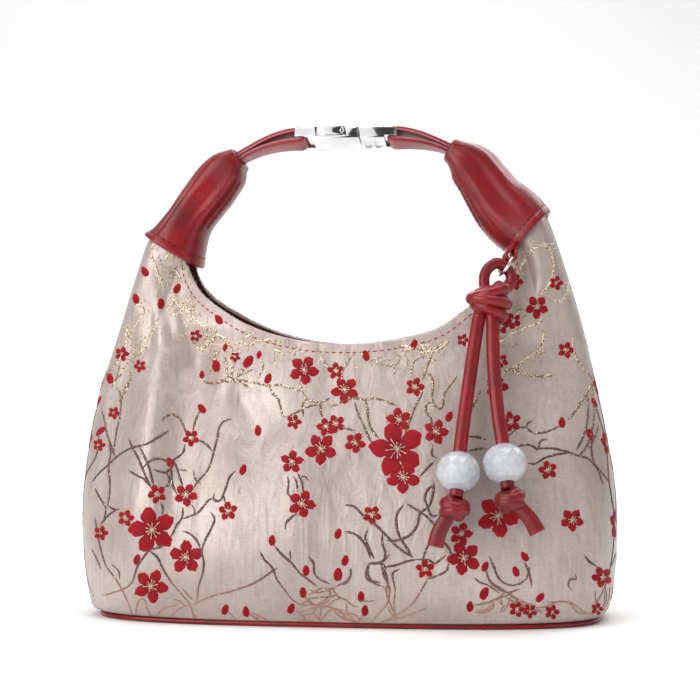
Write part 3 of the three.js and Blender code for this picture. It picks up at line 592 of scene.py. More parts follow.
def bead_material():
    material, tree, shader = new_material("frosted bead glass")
    cloud = wander(tree, 120.0)
    bump(tree, shader, noise(tree, place_on(tree), 700.0), 0.2, 0.0003)
    set_shader(
        tree, shader, Base_Color=mix(tree, cloud, tone(242, 244, 247), tone(206, 211, 219)), Metallic=0.0,
        Roughness=ranged(tree, cloud, 0, 1, 0.14, 0.34), Transmission_Weight=0.4, IOR=1.5, Coat_Weight=0.35,
        Coat_Roughness=0.2, Subsurface_Weight=0.25, Subsurface_Radius=(0.004, 0.004, 0.004),
    )
    return material


SLEEVE_LEATHER = leather_material("sleeve leather", tone(150, 14, 24), tone(100, 6, 13), 1.0, 0.29, 0.2)
STRAP_LEATHER = leather_material("strap leather", tone(158, 18, 30), tone(120, 10, 20), 0.8, 0.33, 0.2)
STRAP_BACK = leather_material("strap back", tone(170, 104, 114), tone(146, 84, 96), 0.9, 0.6, 0.3)
CORD_LEATHER = leather_material("cord leather", tone(146, 12, 22), tone(104, 6, 13), 0.7, 0.3, 0.2)
RED_THREAD = plain_material("red stitching thread", tone(178, 22, 48), 0.6, depth=0.4)
DARK_THREAD = plain_material("dark red stitching thread", tone(92, 12, 16), 0.6, depth=0.4)
CHROME = plain_material("chrome plate", tone(226, 226, 228), 0.1, 1.0, depth=0.02)
BEAD_GLASS = bead_material()
print("materials:", len(bpy.data.materials))

# %% [markdown]
# ## The horns' sleeves
# Each sleeve is a leather tube that leans in as it climbs and narrows to a slot for the strap. It is
# made as a stack of rounded sections along a leaning line. The tables say how the line leans and how
# wide, deep and square each section is, as shares of the sleeve's named size.

# %% Sleeve tables and lines
HORN_SPREAD, HORN_HEIGHT, RIGHT_HORN_LIFT, HORN_INSERT = 143.4, 145.6, 6.1, 7
SLEEVE_LENGTH, SLEEVE_WIDTH, SLEEVE_DEPTH, SLEEVE_WALL, SLEEVE_FIT = 45, 19, 21, 1.6, 0.9
STRAP_WIDTH, STRAP_THICKNESS, STRAP_INSERT, CLEARANCE = 9.6, 1.7, 6, 0.3
SLOT_HALF_WIDTH = STRAP_THICKNESS + CLEARANCE / 2 + 3 * CLEARANCE
SLOT_HALF_DEPTH = STRAP_WIDTH / 2 + 5 * CLEARANCE
AXIS_STEPS = 96
SLEEVES = {
    "left": {
        "side": -1, "lift": 0,
        "along": [0, 0.13, 0.3, 0.5, 0.72, 0.86, 0.95, 1],
        "lean": [59, 63, 58, 51, 54, 52, 42, 34],
        "width": [1.4, 1.17, 0.99, 0.99, 0.98, 0.87, 0.7, 0.6],
        "depth": [1.29, 1.2, 1.08, 1, 0.94, 0.9, 0.85, 0.8],
        "squareness": [2.3, 2.3, 2.3, 2.3, 2.5, 2.8, 3.4, 4],
        "strap": [0, 0, 0, 0, 0, 0.1, 0.4, 1],
    },
    "right": {
        "side": 1, "lift": RIGHT_HORN_LIFT,
        "along": [0, 0.12, 0.3, 0.46, 0.64, 0.78, 0.9, 1],
        "lean": [42, 43, 46, 55, 55, 49, 38, 30],
        "width": [1.21, 1.33, 1.3, 1.17, 1.07, 0.98, 0.76, 0.6],
        "depth": [1.29, 1.2, 1.08, 1, 0.95, 0.92, 0.87, 0.8],
        "squareness": [2.3, 2.3, 2.3, 2.3, 2.4, 2.6, 3.2, 4],
        "strap": [0, 0, 0, 0, 0, 0, 0.25, 1],
    },
}


def table_value(table, key, places, column):
    """A column's value at places along the key column, on a smooth line through the rows."""
    keys, values = np.array(table[key], float), np.array(table[column], float)
    around = np.concatenate([[0], np.arange(len(keys)), [len(keys) - 1]])
    slopes = (values[around[2:]] - values[around[:-2]]) / (keys[around[2:]] - keys[around[:-2]])
    high = np.clip(np.searchsorted(keys, places, side="right"), 1, len(keys) - 1)
    low = high - 1
    span, rise = keys[high] - keys[low], values[high] - values[low]
    t = np.clip((places - keys[low]) / span, 0, 1)
    start, end = slopes[low] * span, slopes[high] * span
    return values[low] + t * (start + t * (3 * rise - 2 * start - end + t * (start + end - 2 * rise)))


def smoothstep(x, low, high):
    t = np.clip((x - low) / (high - low), 0, 1)
    return t * t * (3 - 2 * t)


def lerp(a, b, t):
    return a + (b - a) * t


def squircle(share, squareness):
    return (1 - np.minimum(1, np.abs(share)) ** squareness) ** (1 / squareness)


for sleeve in SLEEVES.values():
    sleeve["at"] = np.linspace(0, 1, AXIS_STEPS + 1)
    lean = np.radians(table_value(sleeve, "along", sleeve["at"], "lean"))
    zero, side = np.zeros_like(lean), sleeve["side"]
    sleeve["ahead"] = np.stack([-side * np.cos(lean), zero, np.sin(lean)], 1)
    sleeve["outward"] = np.stack([side * np.sin(lean), zero, np.cos(lean)], 1)
    start = np.array([side * HORN_SPREAD / 2, 0, HORN_HEIGHT + sleeve["lift"]])
    steps = np.cumsum(sleeve["ahead"][:-1] * SLEEVE_LENGTH / AXIS_STEPS, axis=0)
    sleeve["place"] = np.vstack([start, start + steps])


def sleeve_half(sleeve, along, column):
    """Half of a section's width or depth."""
    full, slot = (SLEEVE_WIDTH, SLOT_HALF_WIDTH) if column == "width" else (SLEEVE_DEPTH, SLOT_HALF_DEPTH)
    half = table_value(sleeve, "along", along, column) * full / 2
    return lerp(half, slot + SLEEVE_WALL, table_value(sleeve, "along", along, "strap"))


def in_sleeve(sleeve, length, outward):
    step = min(AXIS_STEPS - 1, max(0, int(length / SLEEVE_LENGTH * AXIS_STEPS)))
    rest = length - sleeve["at"][step] * SLEEVE_LENGTH
    return sleeve["place"][step] + sleeve["ahead"][step] * rest + sleeve["outward"][step] * outward


def horn_half(sleeve, length, column):
    return sleeve_half(sleeve, np.asarray(length, float) / SLEEVE_LENGTH, column) - SLEEVE_WALL - SLEEVE_FIT


for sleeve in SLEEVES.values():
    sleeve["lowest"] = sleeve["place"][0][2] - sleeve["outward"][0][2] * sleeve_half(sleeve, np.array(0.0), "width")
    print("sleeve end at", np.round(sleeve["place"][-1], 1))

# %% [markdown]
# ## The brocade's shape
# The bag is sewn from two panels. In the front view each panel is a patch between four edges: its foot
# on the base, the two side seams and the rim. Its depth comes from sections that are the base's at the
# foot, the belly's in the middle and the mouth's at the rim, and that round in to the horns. Soft
# hollows and creases are then pressed in. A simulation would lose the exact rim and horns, so the folds
# are listed from what the cloth really does.

# %% Panel tables
BODY_WIDTH, BODY_DEPTH, RIM_HEIGHT, MOUTH_GAP = 213, 96, 107, 40
BASE_LENGTH, BASE_DEPTH, BASE_THICKNESS, PIPING_DIAMETER = 200, 86, 2, 2
CLOTH_THICKNESS, LINING_INSET = 1.6, 0.5
FLOOR_HEIGHT = PIPING_DIAMETER + CLEARANCE
HORN_START, RIM_IN_HORN, HORN_SQUARENESS, HEM_ZONE, TURN_TO_HORN = 0.8, 0.76, 2.3, 5, 0.2
SEAMS = {
    "up": [0.009, 0.037, 0.122, 0.235, 0.333, 0.463, 0.577, 0.689, 0.804, 0.918],
    "left": [0.965, 0.977, 0.992, 1.004, 1.005, 0.988, 0.965, 0.922, 0.872, 0.822],
    "right": [0.958, 0.97, 0.986, 0.992, 0.987, 0.96, 0.93, 0.896, 0.858, 0.812],
}
RIMS = {
    "up": [0, 0.012, 0.05, 0.16, 0.36, 0.6, 0.82],
    "left": [0, 0.16, 0.3, 0.515, 0.725, 0.905, 0.98],
    "right": [0, 0.17, 0.32, 0.555, 0.72, 0.915, 0.966],
}
SECTIONS = {
    "up": [0, 0.1, 0.27, 0.5, 0.75, 1],
    "belly": [0, 0.8, 1, 0.82, 0.42, 0],
    "mouth": [0, 0, 0, 0.18, 0.58, 1],
    "squareness": [3.2, 3.1, 2.9, 2.7, 2.5, 2.3],
}
# Hollows: panel, across and up (shares of half width and rim height), wide, tall, deep (of half depth).
HOLLOWS = [
    ("front", -0.57, 0.97, 0.09, 0.16, 0.07), ("front", -0.74, 0.86, 0.08, 0.3, -0.05),
    ("front", -0.42, 0.78, 0.1, 0.1, 0.05), ("front", -0.87, 0.62, 0.06, 0.35, 0.04),
    ("front", -0.56, 0.55, 0.09, 0.33, 0.07), ("front", -0.7, 0.55, 0.07, 0.4, -0.05),
    ("front", -0.29, 0.7, 0.08, 0.15, 0.06), ("front", -0.12, 0.45, 0.1, 0.3, -0.03),
    ("front", 0.62, 0.5, 0.1, 0.3, 0.05), ("front", -0.05, 0.8, 0.16, 0.14, 0.03),
    ("front", 0.72, 0.86, 0.07, 0.26, 0.05), ("front", 0.86, 0.24, 0.07, 0.14, 0.05),
    ("back", 0.5, 0.93, 0.12, 0.2, 0.06), ("back", -0.6, 0.8, 0.1, 0.25, 0.05),
    ("back", 0.1, 0.45, 0.25, 0.2, 0.03),
]
# Creases: panel, x and z of both ends in millimetres, width, depth (less than 0 is a raised fold).
CREASES = [
    ("front", -83, 139, -76, 96, 2.6, 1.7), ("front", -76, 136, -69, 108, 2.2, 1.4),
    ("front", -69, 133, -64, 112, 1.8, 1.2), ("front", -88, 118, -86, 80, 3.0, 1.4),
    ("front", -73, 112, -72, 66, 6.0, -2.2), ("front", -62, 104, -52, 84, 6.0, 2.4),
    ("front", -42, 92, -30, 60, 5.0, 1.8), ("front", -33, 90, -20, 72, 4.0, 1.0),
    ("front", 64, 132, 70, 96, 2.8, 1.4), ("front", 72, 138, 80, 92, 3.0, -1.4),
    ("front", 79, 134, 88, 88, 2.6, 1.4), ("front", 58, 112, 63, 84, 3.0, 1.0),
    ("front", 70, 90, 78, 50, 5.0, 1.2), ("front", 84, 60, 96, 30, 5.0, 1.0),
    ("front", 20, 96, 34, 84, 4.0, 0.4), ("front", -96, 60, -90, 20, 4.0, 0.5),
    ("back", 80, 136, 72, 92, 3.0, 0.9), ("back", 72, 132, 60, 100, 2.4, 0.7),
    ("back", -78, 136, -70, 90, 3.0, 0.9), ("back", -70, 128, -60, 98, 2.4, 0.6),
    ("back", 40, 80, 20, 60, 4.0, 0.6), ("back", -30, 84, -44, 50, 4.0, 0.6),
]


def fine_creases(panel, count, seed):
    """Short, nearly upright creases that handling leaves all over satin."""
    rng = random.Random(seed)
    for _ in range(count):
        x, z = rng.uniform(-100, 100), rng.uniform(8, 120)
        length, lean = rng.uniform(9, 30), rng.uniform(-0.35, 0.35)
        wide, deep = rng.uniform(1.6, 4.2), rng.uniform(-0.42, 0.5)
        yield panel, x, z + length / 2, x + lean * length, z - length / 2, wide, deep


CREASES += [*fine_creases("front", 90, 3), *fine_creases("back", 90, 4)]


def horn_edges(name, sleeve):
    """The seam and the rim that end at a horn, and the ends of the horn's own top."""
    outer = lambda length: in_sleeve(sleeve, length, float(horn_half(sleeve, length, "width")))
    inner = in_sleeve(sleeve, 0, -RIM_IN_HORN * float(horn_half(sleeve, 0, "width")))
    side = sleeve["side"]
    foot = (side * BASE_LENGTH / 2, 0, FLOOR_HEIGHT)
    half, seam_shares, rim_shares = side * BODY_WIDTH / 2, zip(SEAMS["up"], SEAMS[name]), zip(RIMS["up"], RIMS[name])
    seam = [(half * x, 0, lerp(FLOOR_HEIGHT, HORN_HEIGHT, up)) for up, x in seam_shares]
    rim = [(inner[0] * x, 0, lerp(RIM_HEIGHT, inner[2], up)) for up, x in rim_shares]
    sleeve["seam"] = smooth_line([foot, *seam, outer(0), outer(HORN_INSERT)], 400)
    sleeve["rim"] = smooth_line([*rim, inner], 400)
    sleeve["tip"] = (inner, outer(HORN_INSERT))


for name, sleeve in SLEEVES.items():
    horn_edges(name, sleeve)


def along_line(line, share):
    at = np.linspace(0, 1, len(line))
    return np.stack([np.interp(share, at, line[:, k]) for k in range(3)], -1)


def top_edge(share):
    """Places on a panel's top edge: along the rim, then across a horn's top."""
    reach = np.abs(share)
    found = np.zeros((*np.shape(share), 3))
    for sleeve in SLEEVES.values():
        mine = share < 0 if sleeve["side"] < 0 else share >= 0
        rim = along_line(sleeve["rim"], np.clip(reach / HORN_START, 0, 1))
        t = np.clip((reach - HORN_START) / (1 - HORN_START), 0, 1)[..., None]
        tip = sleeve["tip"][0] * (1 - t) + sleeve["tip"][1] * t
        found = np.where(mine[..., None], np.where((reach <= HORN_START)[..., None], rim, tip), found)
    return found


def horn_depth(sleeve, share, point):
    """Half the horn's depth, and the point kept within the sleeve's walls."""
    away = point - sleeve["place"][0]
    length = away @ sleeve["ahead"][0]
    inside = np.clip(length, 0, HORN_INSERT)
    half = horn_half(sleeve, inside, "width")
    across = lerp(-RIM_IN_HORN, 1, np.maximum(0, (np.abs(share) - HORN_START) / (1 - HORN_START)))
    near = (length > -HEM_ZONE) & (point[..., 2] > sleeve["lowest"])
    outward = away @ sleeve["outward"][0]
    kept = np.clip(outward, -RIM_IN_HORN * half, half)
    point = np.where(near[..., None], point + (kept - outward)[..., None] * sleeve["outward"][0], point)
    inner = np.where(np.abs(share) < 1, np.maximum(across, kept / half), 1)
    across = np.where(near, inner, across)
    return horn_half(sleeve, inside, "depth") * squircle(across, HORN_SQUARENESS), point


def pressed(panel, point, fade):
    """How far the hollows and creases move the cloth in."""
    x, z = point[..., 0], point[..., 2]
    total = np.zeros_like(x)
    for which, across, up, wide, tall, deep in HOLLOWS:
        if which == panel:
            dx, dz = (x / (BODY_WIDTH / 2) - across) / wide, (z / RIM_HEIGHT - up) / tall
            total += deep * BODY_DEPTH / 2 * np.exp(-dx * dx - dz * dz)
    for which, x0, z0, x1, z1, wide, deep in CREASES:
        if which == panel:
            run = np.array([x1 - x0, z1 - z0], float)
            reach = run @ run
            t = ((x - x0) * run[0] + (z - z0) * run[1]) / reach
            gap = np.hypot(x - x0 - np.clip(t, 0, 1) * run[0], z - z0 - np.clip(t, 0, 1) * run[1])
            ends = smoothstep(t, -0.15, 0.25) * (1 - smoothstep(t, 0.6, 1.15))
            total += deep * np.exp(-((gap / wide) ** 2)) * ends
    return total * fade


def cloth_points(panel, share, up):
    """The cloth's outer face at shares of the panel's width, -1 to 1, and height, 0 to 1."""
    across = ((share + 1) / 2)[..., None]
    tall = up[..., None]
    foot = lambda place: np.stack([place * BASE_LENGTH / 2, 0 * place, 0 * place + FLOOR_HEIGHT], -1)
    ones = np.ones_like(share)
    left, right = along_line(SLEEVES["left"]["seam"], up), along_line(SLEEVES["right"]["seam"], up)
    point = foot(share) * (1 - tall) + top_edge(share) * tall + left * (1 - across) + right * across
    for end, weight in ((-ones, 1 - across), (ones, across)):
        point = point - foot(end) * weight * (1 - tall) - top_edge(end) * weight * tall
    height = np.clip((point[..., 2] - FLOOR_HEIGHT) / (RIM_HEIGHT - FLOOR_HEIGHT), 0, 1)
    columns = ("belly", "mouth", "squareness")
    belly, mouth, square = (table_value(SECTIONS, "up", height, column) for column in columns)
    depth = BODY_DEPTH * belly + MOUTH_GAP * mouth + BASE_DEPTH * (1 - belly - mouth)
    reach = depth / 2 * squircle(share, square)
    turned = np.zeros_like(share)
    for sleeve in SLEEVES.values():
        mine = share < 0 if sleeve["side"] < 0 else share >= 0
        first = lerp(RIM_HEIGHT, sleeve["lowest"], TURN_TO_HORN)
        turn = smoothstep(point[..., 2], first, sleeve["lowest"] - HEM_ZONE)
        horn, kept = horn_depth(sleeve, share, point)
        reach = np.where(mine, lerp(reach, horn, turn), reach)
        point = np.where(mine[..., None], kept, point)
        turned = np.where(mine, turn, turned)
    fade = (1 - share**8) * np.minimum(1, up * 6)
    hollow = pressed(panel, point, fade * (1 - 0.75 * turned))
    reach = np.maximum(reach - hollow, np.minimum(reach, 0.5))
    point[..., 1] = -reach if panel == "front" else reach
    return point


COLUMNS, ROWS = 190, 140
SHARES = np.sin((np.arange(COLUMNS + 1) / COLUMNS - 0.5) * math.pi)  # closer together near the seams


def panel_grid(panel):
    up = (np.arange(ROWS + 1) / ROWS) ** 1.05
    share, high = np.meshgrid(SHARES, up)
    return cloth_points(panel, share, high)


def grid_normals(grid, panel):
    """Directions out of the cloth."""
    wide, tall = np.gradient(grid, axis=1), np.gradient(grid, axis=0)
    out = np.cross(wide, tall)
    out /= np.maximum(np.linalg.norm(out, axis=-1), 1e-9)[..., None]
    return out if panel == "front" else -out


FACES = {panel: panel_grid(panel) for panel in ("front", "back")}
NORMALS = {panel: grid_normals(FACES[panel], panel) for panel in FACES}
for panel in FACES:
    low, high = FACES[panel].min((0, 1)), FACES[panel].max((0, 1))
    print(panel, "panel from", np.round(low, 1), "to", np.round(high, 1))

# %% [markdown]
# ## Sewing the panels
# Each panel is interlined cloth 1.6 mm thick. Its edge turns over at the rim and tucks in behind the
# piping at the foot. The lining is a dark bag hung just inside, caught under the rim, with a flat floor.

# %% The two panels and the lining
UP = np.array([0, 0, 1.0])
LIP_TURNS = np.linspace(0, math.pi, 7)[1:-1]  # the angles of a rounded lip's inner rows


def panel_piece(panel):
    face, out = FACES[panel], NORMALS[panel]
    half = CLOTH_THICKNESS / 2
    tuck = face[:1] - out[:1] * 1.2 - UP * 1.0
    lip = np.stack([face[-1] - out[-1] * half * (1 - math.cos(a)) + UP * half * math.sin(a) for a in LIP_TURNS])
    inner = (face - out * CLOTH_THICKNESS)[::-1][::5]
    piece = sheet(f"{panel}_brocade", np.concatenate([tuck, face, lip, inner]))
    return finish_piece(piece, BROCADE, "brocade", f"{panel}_panel")


def lining_piece():
    layers = []
    for panel in ("front", "back"):
        face, out = FACES[panel], NORMALS[panel]
        inside = face - out * (CLOTH_THICKNESS + LINING_INSET)
        hem = face[-2:] - out[-2:] * (CLOTH_THICKNESS + 0.12)
        layers.append(np.concatenate([inside[2:-4:4], inside[-4:-2], hem]))
    floor = np.stack([lerp(layers[0][0], layers[1][0], t) for t in np.linspace(0, 1, 8)[1:-1]])
    floor[..., 2] = FLOOR_HEIGHT + 1
    piece = sheet("lining_cloth", np.concatenate([layers[0][::-1], floor, layers[1]]))
    return finish_piece(piece, LINING, "lining_cloth", "lining")


def side_seam(name):
    """The rolled seam that joins the two panels at a side."""
    line = along_line(SLEEVES[name]["seam"], np.linspace(0.004, 0.955, 150))
    line[:, 0] -= SLEEVES[name]["side"] * 0.35
    seam = rod(f"side_seam_{name}", swept(line, oval(1.2, 1.5, 12), (1, 0, 0)))
    return finish_piece(seam, BROCADE, "brocade")


for name in SLEEVES:
    side_seam(name)
PANELS = {panel: panel_piece(panel) for panel in FACES}
LINING_PIECE = lining_piece()
print("panels and lining:", [len(p.data.polygons) for p in (*PANELS.values(), LINING_PIECE)], "faces")

# %% [markdown]
# ## Stitches
# A stitch is a short strand that dips at both ends. Rows of them are laid along a line that lies on the
# leather or cloth, each one a small spindle set along the line and lifted a little from the face.

# %% Stitch helper
def spindle(start, end, out, width, sides=6):
    """A short strand between two places, fat in the middle."""
    ahead = end - start
    ahead = ahead / np.linalg.norm(ahead)
    side = np.cross(ahead, out)
    side /= np.linalg.norm(side)
    lift = np.cross(side, ahead)
    points, faces = [], []
    for t, fat in ((0.0, 0.35), (0.15, 0.85), (0.5, 1.0), (0.85, 0.85), (1.0, 0.35)):
        middle = start + (end - start) * t
        for k in range(sides):
            turn = 2 * math.pi * k / sides
            round_it = side * math.cos(turn) + lift * math.sin(turn) * 0.8
            points.append(middle + round_it * fat * width / 2)
    for row in range(4):
        for k in range(sides):
            a, b = row * sides + k, row * sides + (k + 1) % sides
            faces.append((a, b, b + sides, a + sides))
    faces += [tuple(range(sides))[::-1], tuple(range(4 * sides, 5 * sides))]
    return points, faces


def stitch_row(line, outs, pitch, share, width, lift=0.05):
    """Stitches at a pitch along a line; share is how much of the pitch each one covers."""
    travelled = distances(line)
    at = lambda s, values: np.array([np.interp(s, travelled, values[:, k]) for k in range(3)])
    stitches = []
    for start in np.arange(pitch / 2, travelled[-1] - pitch, pitch):
        out = at(start, outs)
        out /= np.linalg.norm(out)
        ends = [at(start + d, line) + out * lift for d in (0, pitch * share)]
        stitches.append(spindle(ends[0], ends[1], out, width))
    return stitches


# %% [markdown]
# ## Building the sleeves
# A sleeve's wall is one closed skin: out along the horn, over the strap's slot and back inside. Real
# sleeves are stiff. Where the leather is pulled round the gathered cloth, a ridge stands along the
# front with a valley beside it, and the slit at the back of the ridge is sewn shut.

# %% The two sleeves
SLEEVE_SIDES = 132
HEM_BAND = 2.0
SHOULDER, SHOULDER_DOME = 1.2, 1.2  # how far the leather stands out round its end, and how far that end domes
# Ridges and valleys: turn in degrees (270 faces the front), where along, width in degrees, how long,
# and rise in millimetres.
SLEEVE_FOLDS = {
    "left": [
        (296, 0.42, 15, 0.42, 0.9), (262, 0.5, 13, 0.36, -0.8), (238, 0.62, 9, 0.3, 0.4),
        (318, 0.2, 14, 0.3, -0.5), (80, 0.5, 16, 0.4, 0.7), (110, 0.5, 14, 0.4, -0.6),
        (345, 0.7, 14, 0.3, 0.4),
    ],
    "right": [
        (248, 0.4, 15, 0.42, 0.8), (278, 0.5, 13, 0.4, -0.7), (305, 0.5, 14, 0.36, 0.6),
        (225, 0.25, 14, 0.3, -0.5), (90, 0.5, 16, 0.4, 0.7), (120, 0.5, 14, 0.4, -0.6),
        (330, 0.75, 12, 0.26, -0.4),
    ],
}
SLIT = {"left": (208, 0.3, 0.9), "right": (206, 0.3, 0.9)}  # turn in degrees, and the shares where it runs


def sleeve_ring(name, row, inset):
    """A section's points round the sleeve at a station, moved in by the inset."""
    sleeve = SLEEVES[name]
    along = sleeve["at"][row]
    wide = float(sleeve_half(sleeve, np.array(along), "width")) - inset
    deep = float(sleeve_half(sleeve, np.array(along), "depth")) - inset
    square = float(table_value(sleeve, "along", np.array(along), "squareness"))
    turn = np.arange(SLEEVE_SIDES) / SLEEVE_SIDES * 2 * math.pi
    c, s = np.cos(turn), np.sin(turn)
    rise = np.zeros(SLEEVE_SIDES)
    if inset == 0:
        angle = np.degrees(turn)
        for middle, where, wide_by, long_by, tall in SLEEVE_FOLDS[name]:
            gap = (angle - middle + 180) % 360 - 180
            rise += tall * np.exp(-((gap / wide_by) ** 2) - ((along - where) / long_by) ** 2)
        middle, low, high = SLIT[name]
        gap = (angle - middle + 180) % 360 - 180
        ends = smoothstep(along, low, low + 0.1) * (1 - smoothstep(along, high - 0.1, high))
        rise -= 0.7 * np.exp(-((gap / 2.6) ** 2)) * ends
        from_hem = along * SLEEVE_LENGTH
        rise += 0.35 * (1 - smoothstep(from_hem, HEM_BAND - 0.4, HEM_BAND + 0.3))
        rise *= 1 - smoothstep(along, 0.9, 1.0)
        rise += SHOULDER * smoothstep(along, 0.7, 0.95) * (0.6 - 0.4 * c)
    across = np.sign(c) * np.abs(c) ** (2 / square) * wide + c * rise
    away = np.sign(s) * np.abs(s) ** (2 / square) * deep + s * rise
    ring = sleeve["place"][row] + sleeve["outward"][row] * across[:, None]
    ring[:, 1] += away
    return ring


def sleeve_piece(name):
    last = AXIS_STEPS
    outer = [sleeve_ring(name, row, 0) for row in range(last + 1)]
    inner = [sleeve_ring(name, row, SLEEVE_WALL) for row in range(last, -1, -6)]
    ahead = SLEEVES[name]["ahead"]

    def lip(a, b, push):
        return [lerp(a, b, (1 - math.cos(t)) / 2) + push * math.sin(t) for t in LIP_TURNS]

    top, hem = ahead[-1] * SHOULDER_DOME, -ahead[0] * SLEEVE_WALL / 2
    grid = np.stack([*outer, *lip(outer[-1], inner[0], top), *inner, *lip(inner[-1], outer[0], hem)])
    piece = hoop(f"sleeve_{name}_leather", grid)
    return finish_piece(piece, SLEEVE_LEATHER, "red_leather", f"sleeve_{name}")


def sleeve_stitches(name):
    """A row round the hem and a row on each side of the slit."""
    rings = np.stack([sleeve_ring(name, row, 0) for row in range(AXIS_STEPS + 1)])
    middle = SLEEVES[name]["place"][:, None, :]
    hem_row = round((HEM_BAND + 0.9) / SLEEVE_LENGTH * AXIS_STEPS)
    ring = np.vstack([rings[hem_row], rings[hem_row][:1]])
    places = stitch_row(ring, ring - middle[hem_row], 2.6, 0.62, 0.55)
    angle, low, high = SLIT[name]
    rows = slice(round(low * AXIS_STEPS), round(high * AXIS_STEPS))
    for beside in (-9, 9):
        column = round((angle + beside) / 360 * SLEEVE_SIDES) % SLEEVE_SIDES
        line = rings[rows, column]
        places += stitch_row(line, line - middle[rows, 0], 2.4, 0.6, 0.45)
    return place_all(places, f"sleeve_{name}_stitches", DARK_THREAD, "red_leather")


for name in SLEEVES:
    sleeve_piece(name)
    sleeve_stitches(name)
print("sleeve sides:", SLEEVE_SIDES, "stations:", AXIS_STEPS + 1)

# %% [markdown]
# ## The doubled straps
# A leather band rises out of each sleeve, folds round the clasp's bar and comes back beside itself, so
# from the front its two cut edges show with a dark crevice between them. It is a band section swept
# along a path, with the maker's row of stitches near each edge.

# %% Clasp place, folded bands and straps
CLASP_TILT, HANDLE_RISE, HANDLE_SHIFT, CLASP_LENGTH, BAR_DIAMETER = -18, 6.6, 1.3, 40.8, 2.2
CLASP_PLACE = (SLEEVES["left"]["place"][-1] + SLEEVES["right"]["place"][-1]) / 2 + [HANDLE_SHIFT, 0, HANDLE_RISE]
TILT = math.radians(CLASP_TILT)
CLASP_UP = np.array([0, -math.sin(TILT), math.cos(TILT)])
SEEN = slice(8, 40)  # the rows of a strap between its sleeve and the clasp


def unit(vector):
    return np.asarray(vector, float) / np.linalg.norm(vector)


def folded_band(start, start_ahead, start_side, bar, bar_ahead, bar_side, bar_size, thickness):
    """Middle line, and width and outward directions, of a band folded round a bar."""
    radius = bar_size / 2 + CLEARANCE + thickness / 2
    handle = np.linalg.norm(start - bar) / 3
    ends = [start, start + start_ahead * handle, bar - bar_ahead * handle, bar]
    stops = []
    for t in np.linspace(0, 1, 40, endpoint=False):
        place = sum(w * p for w, p in zip(((1 - t) ** 3, 3 * t * (1 - t) ** 2, 3 * t * t * (1 - t), t**3), ends))
        weights = (-((1 - t) ** 2), (1 - t) * (1 - 3 * t), t * (2 - 3 * t), t * t)
        ahead = unit(sum(w * p for w, p in zip(weights, ends)))
        side = lerp(start_side, bar_side, t)
        side = unit(side - ahead * side.dot(ahead))
        gap = lerp((thickness + CLEARANCE) / 2, radius, float(smoothstep(t, 0.3, 1)))
        stops.append((place, side, gap, np.cross(side, ahead)))
    there = [(place + side * gap, across) for place, side, gap, across in stops]
    back = [(place - side * gap, across) for place, side, gap, across in stops[::-1]]
    fold = [
        (bar + bar_side * radius * math.cos(a) + bar_ahead * radius * math.sin(a), np.cross(bar_side, bar_ahead))
        for a in np.linspace(0, math.pi, 18)
    ]
    line, across = (np.array(part) for part in zip(*there, *fold, *back))
    outs = np.cross(np.gradient(line, axis=0), across)
    return line, across, outs / np.linalg.norm(outs, axis=1)[:, None]


def band_grid(line, across, outs, width, thickness, bow=0.0):
    """A band's skin: a flat section with eased edges, its faces bowed out a little."""
    half, thick, ease = width / 2, thickness / 2, thickness * 0.22
    outline = []
    for x_sign, y_sign, first in ((1, 1, 0), (-1, 1, 90), (-1, -1, 180), (1, -1, 270)):
        for a in np.radians(np.linspace(first, first + 90, 5)):
            corner = x_sign * (half - ease), y_sign * (thick - ease)
            outline.append((corner[0] + ease * math.cos(a), corner[1] + ease * math.sin(a)))
        if y_sign * x_sign > 0:
            shares = (0.6, 0.2, -0.2, -0.6)
            outline += [(x_sign * half * k, y_sign * (thick + bow * (1 - k * k))) for k in shares]
    outline = np.array(outline)
    wide = outline[None, :, :1] * across[:, None, :]
    return line[:, None, :] + wide + outline[None, :, 1:] * outs[:, None, :]


def strap_parts(name):
    sleeve = SLEEVES[name]
    bar = CLASP_PLACE + [sleeve["side"] * (CLASP_LENGTH - BAR_DIAMETER) / 2, 0, 0]
    start = sleeve["place"][-1] - sleeve["ahead"][-1] * STRAP_INSERT
    along = np.array([-sleeve["side"], 0, 0.0])
    ahead, outward = sleeve["ahead"][-1], sleeve["outward"][-1]
    band = folded_band(start, ahead, outward, bar, along, CLASP_UP, BAR_DIAMETER, STRAP_THICKNESS)
    line, across, outs = band
    leather = rod(f"strap_{name}_leather", band_grid(*band, STRAP_WIDTH, STRAP_THICKNESS, 0.12))
    finish_piece(leather, STRAP_LEATHER, "strap_leather", f"strap_{name}")
    back = band_grid(line - outs * 0.42, across, outs, STRAP_WIDTH + 0.12, 0.75)
    finish_piece(rod(f"strap_{name}_lining", back), STRAP_BACK, "strap_leather")
    facing = 1 if outs[4].dot(outward) > 0 else -1
    places = []
    for side in (-1, 1):
        row = line + across * side * (STRAP_WIDTH / 2 - 1.3) + outs * STRAP_THICKNESS / 2 * facing
        places += stitch_row(row[SEEN], outs[SEEN] * facing, 2.2, 0.6, 0.45, 0.12)
    place_all(places, f"strap_{name}_stitches", DARK_THREAD, "strap_leather")


for name in SLEEVES:
    strap_parts(name)
print("clasp at", np.round(CLASP_PLACE, 1))

# %% [markdown]
# ## The clasp
# The clasp is plated metal of exact size, so its shape stays the model's own. Plating rounds every edge
# a little, and those soft edges are what catch the light. Each piece is copied, its flat faces are
# merged, and its sharp edges are rounded.

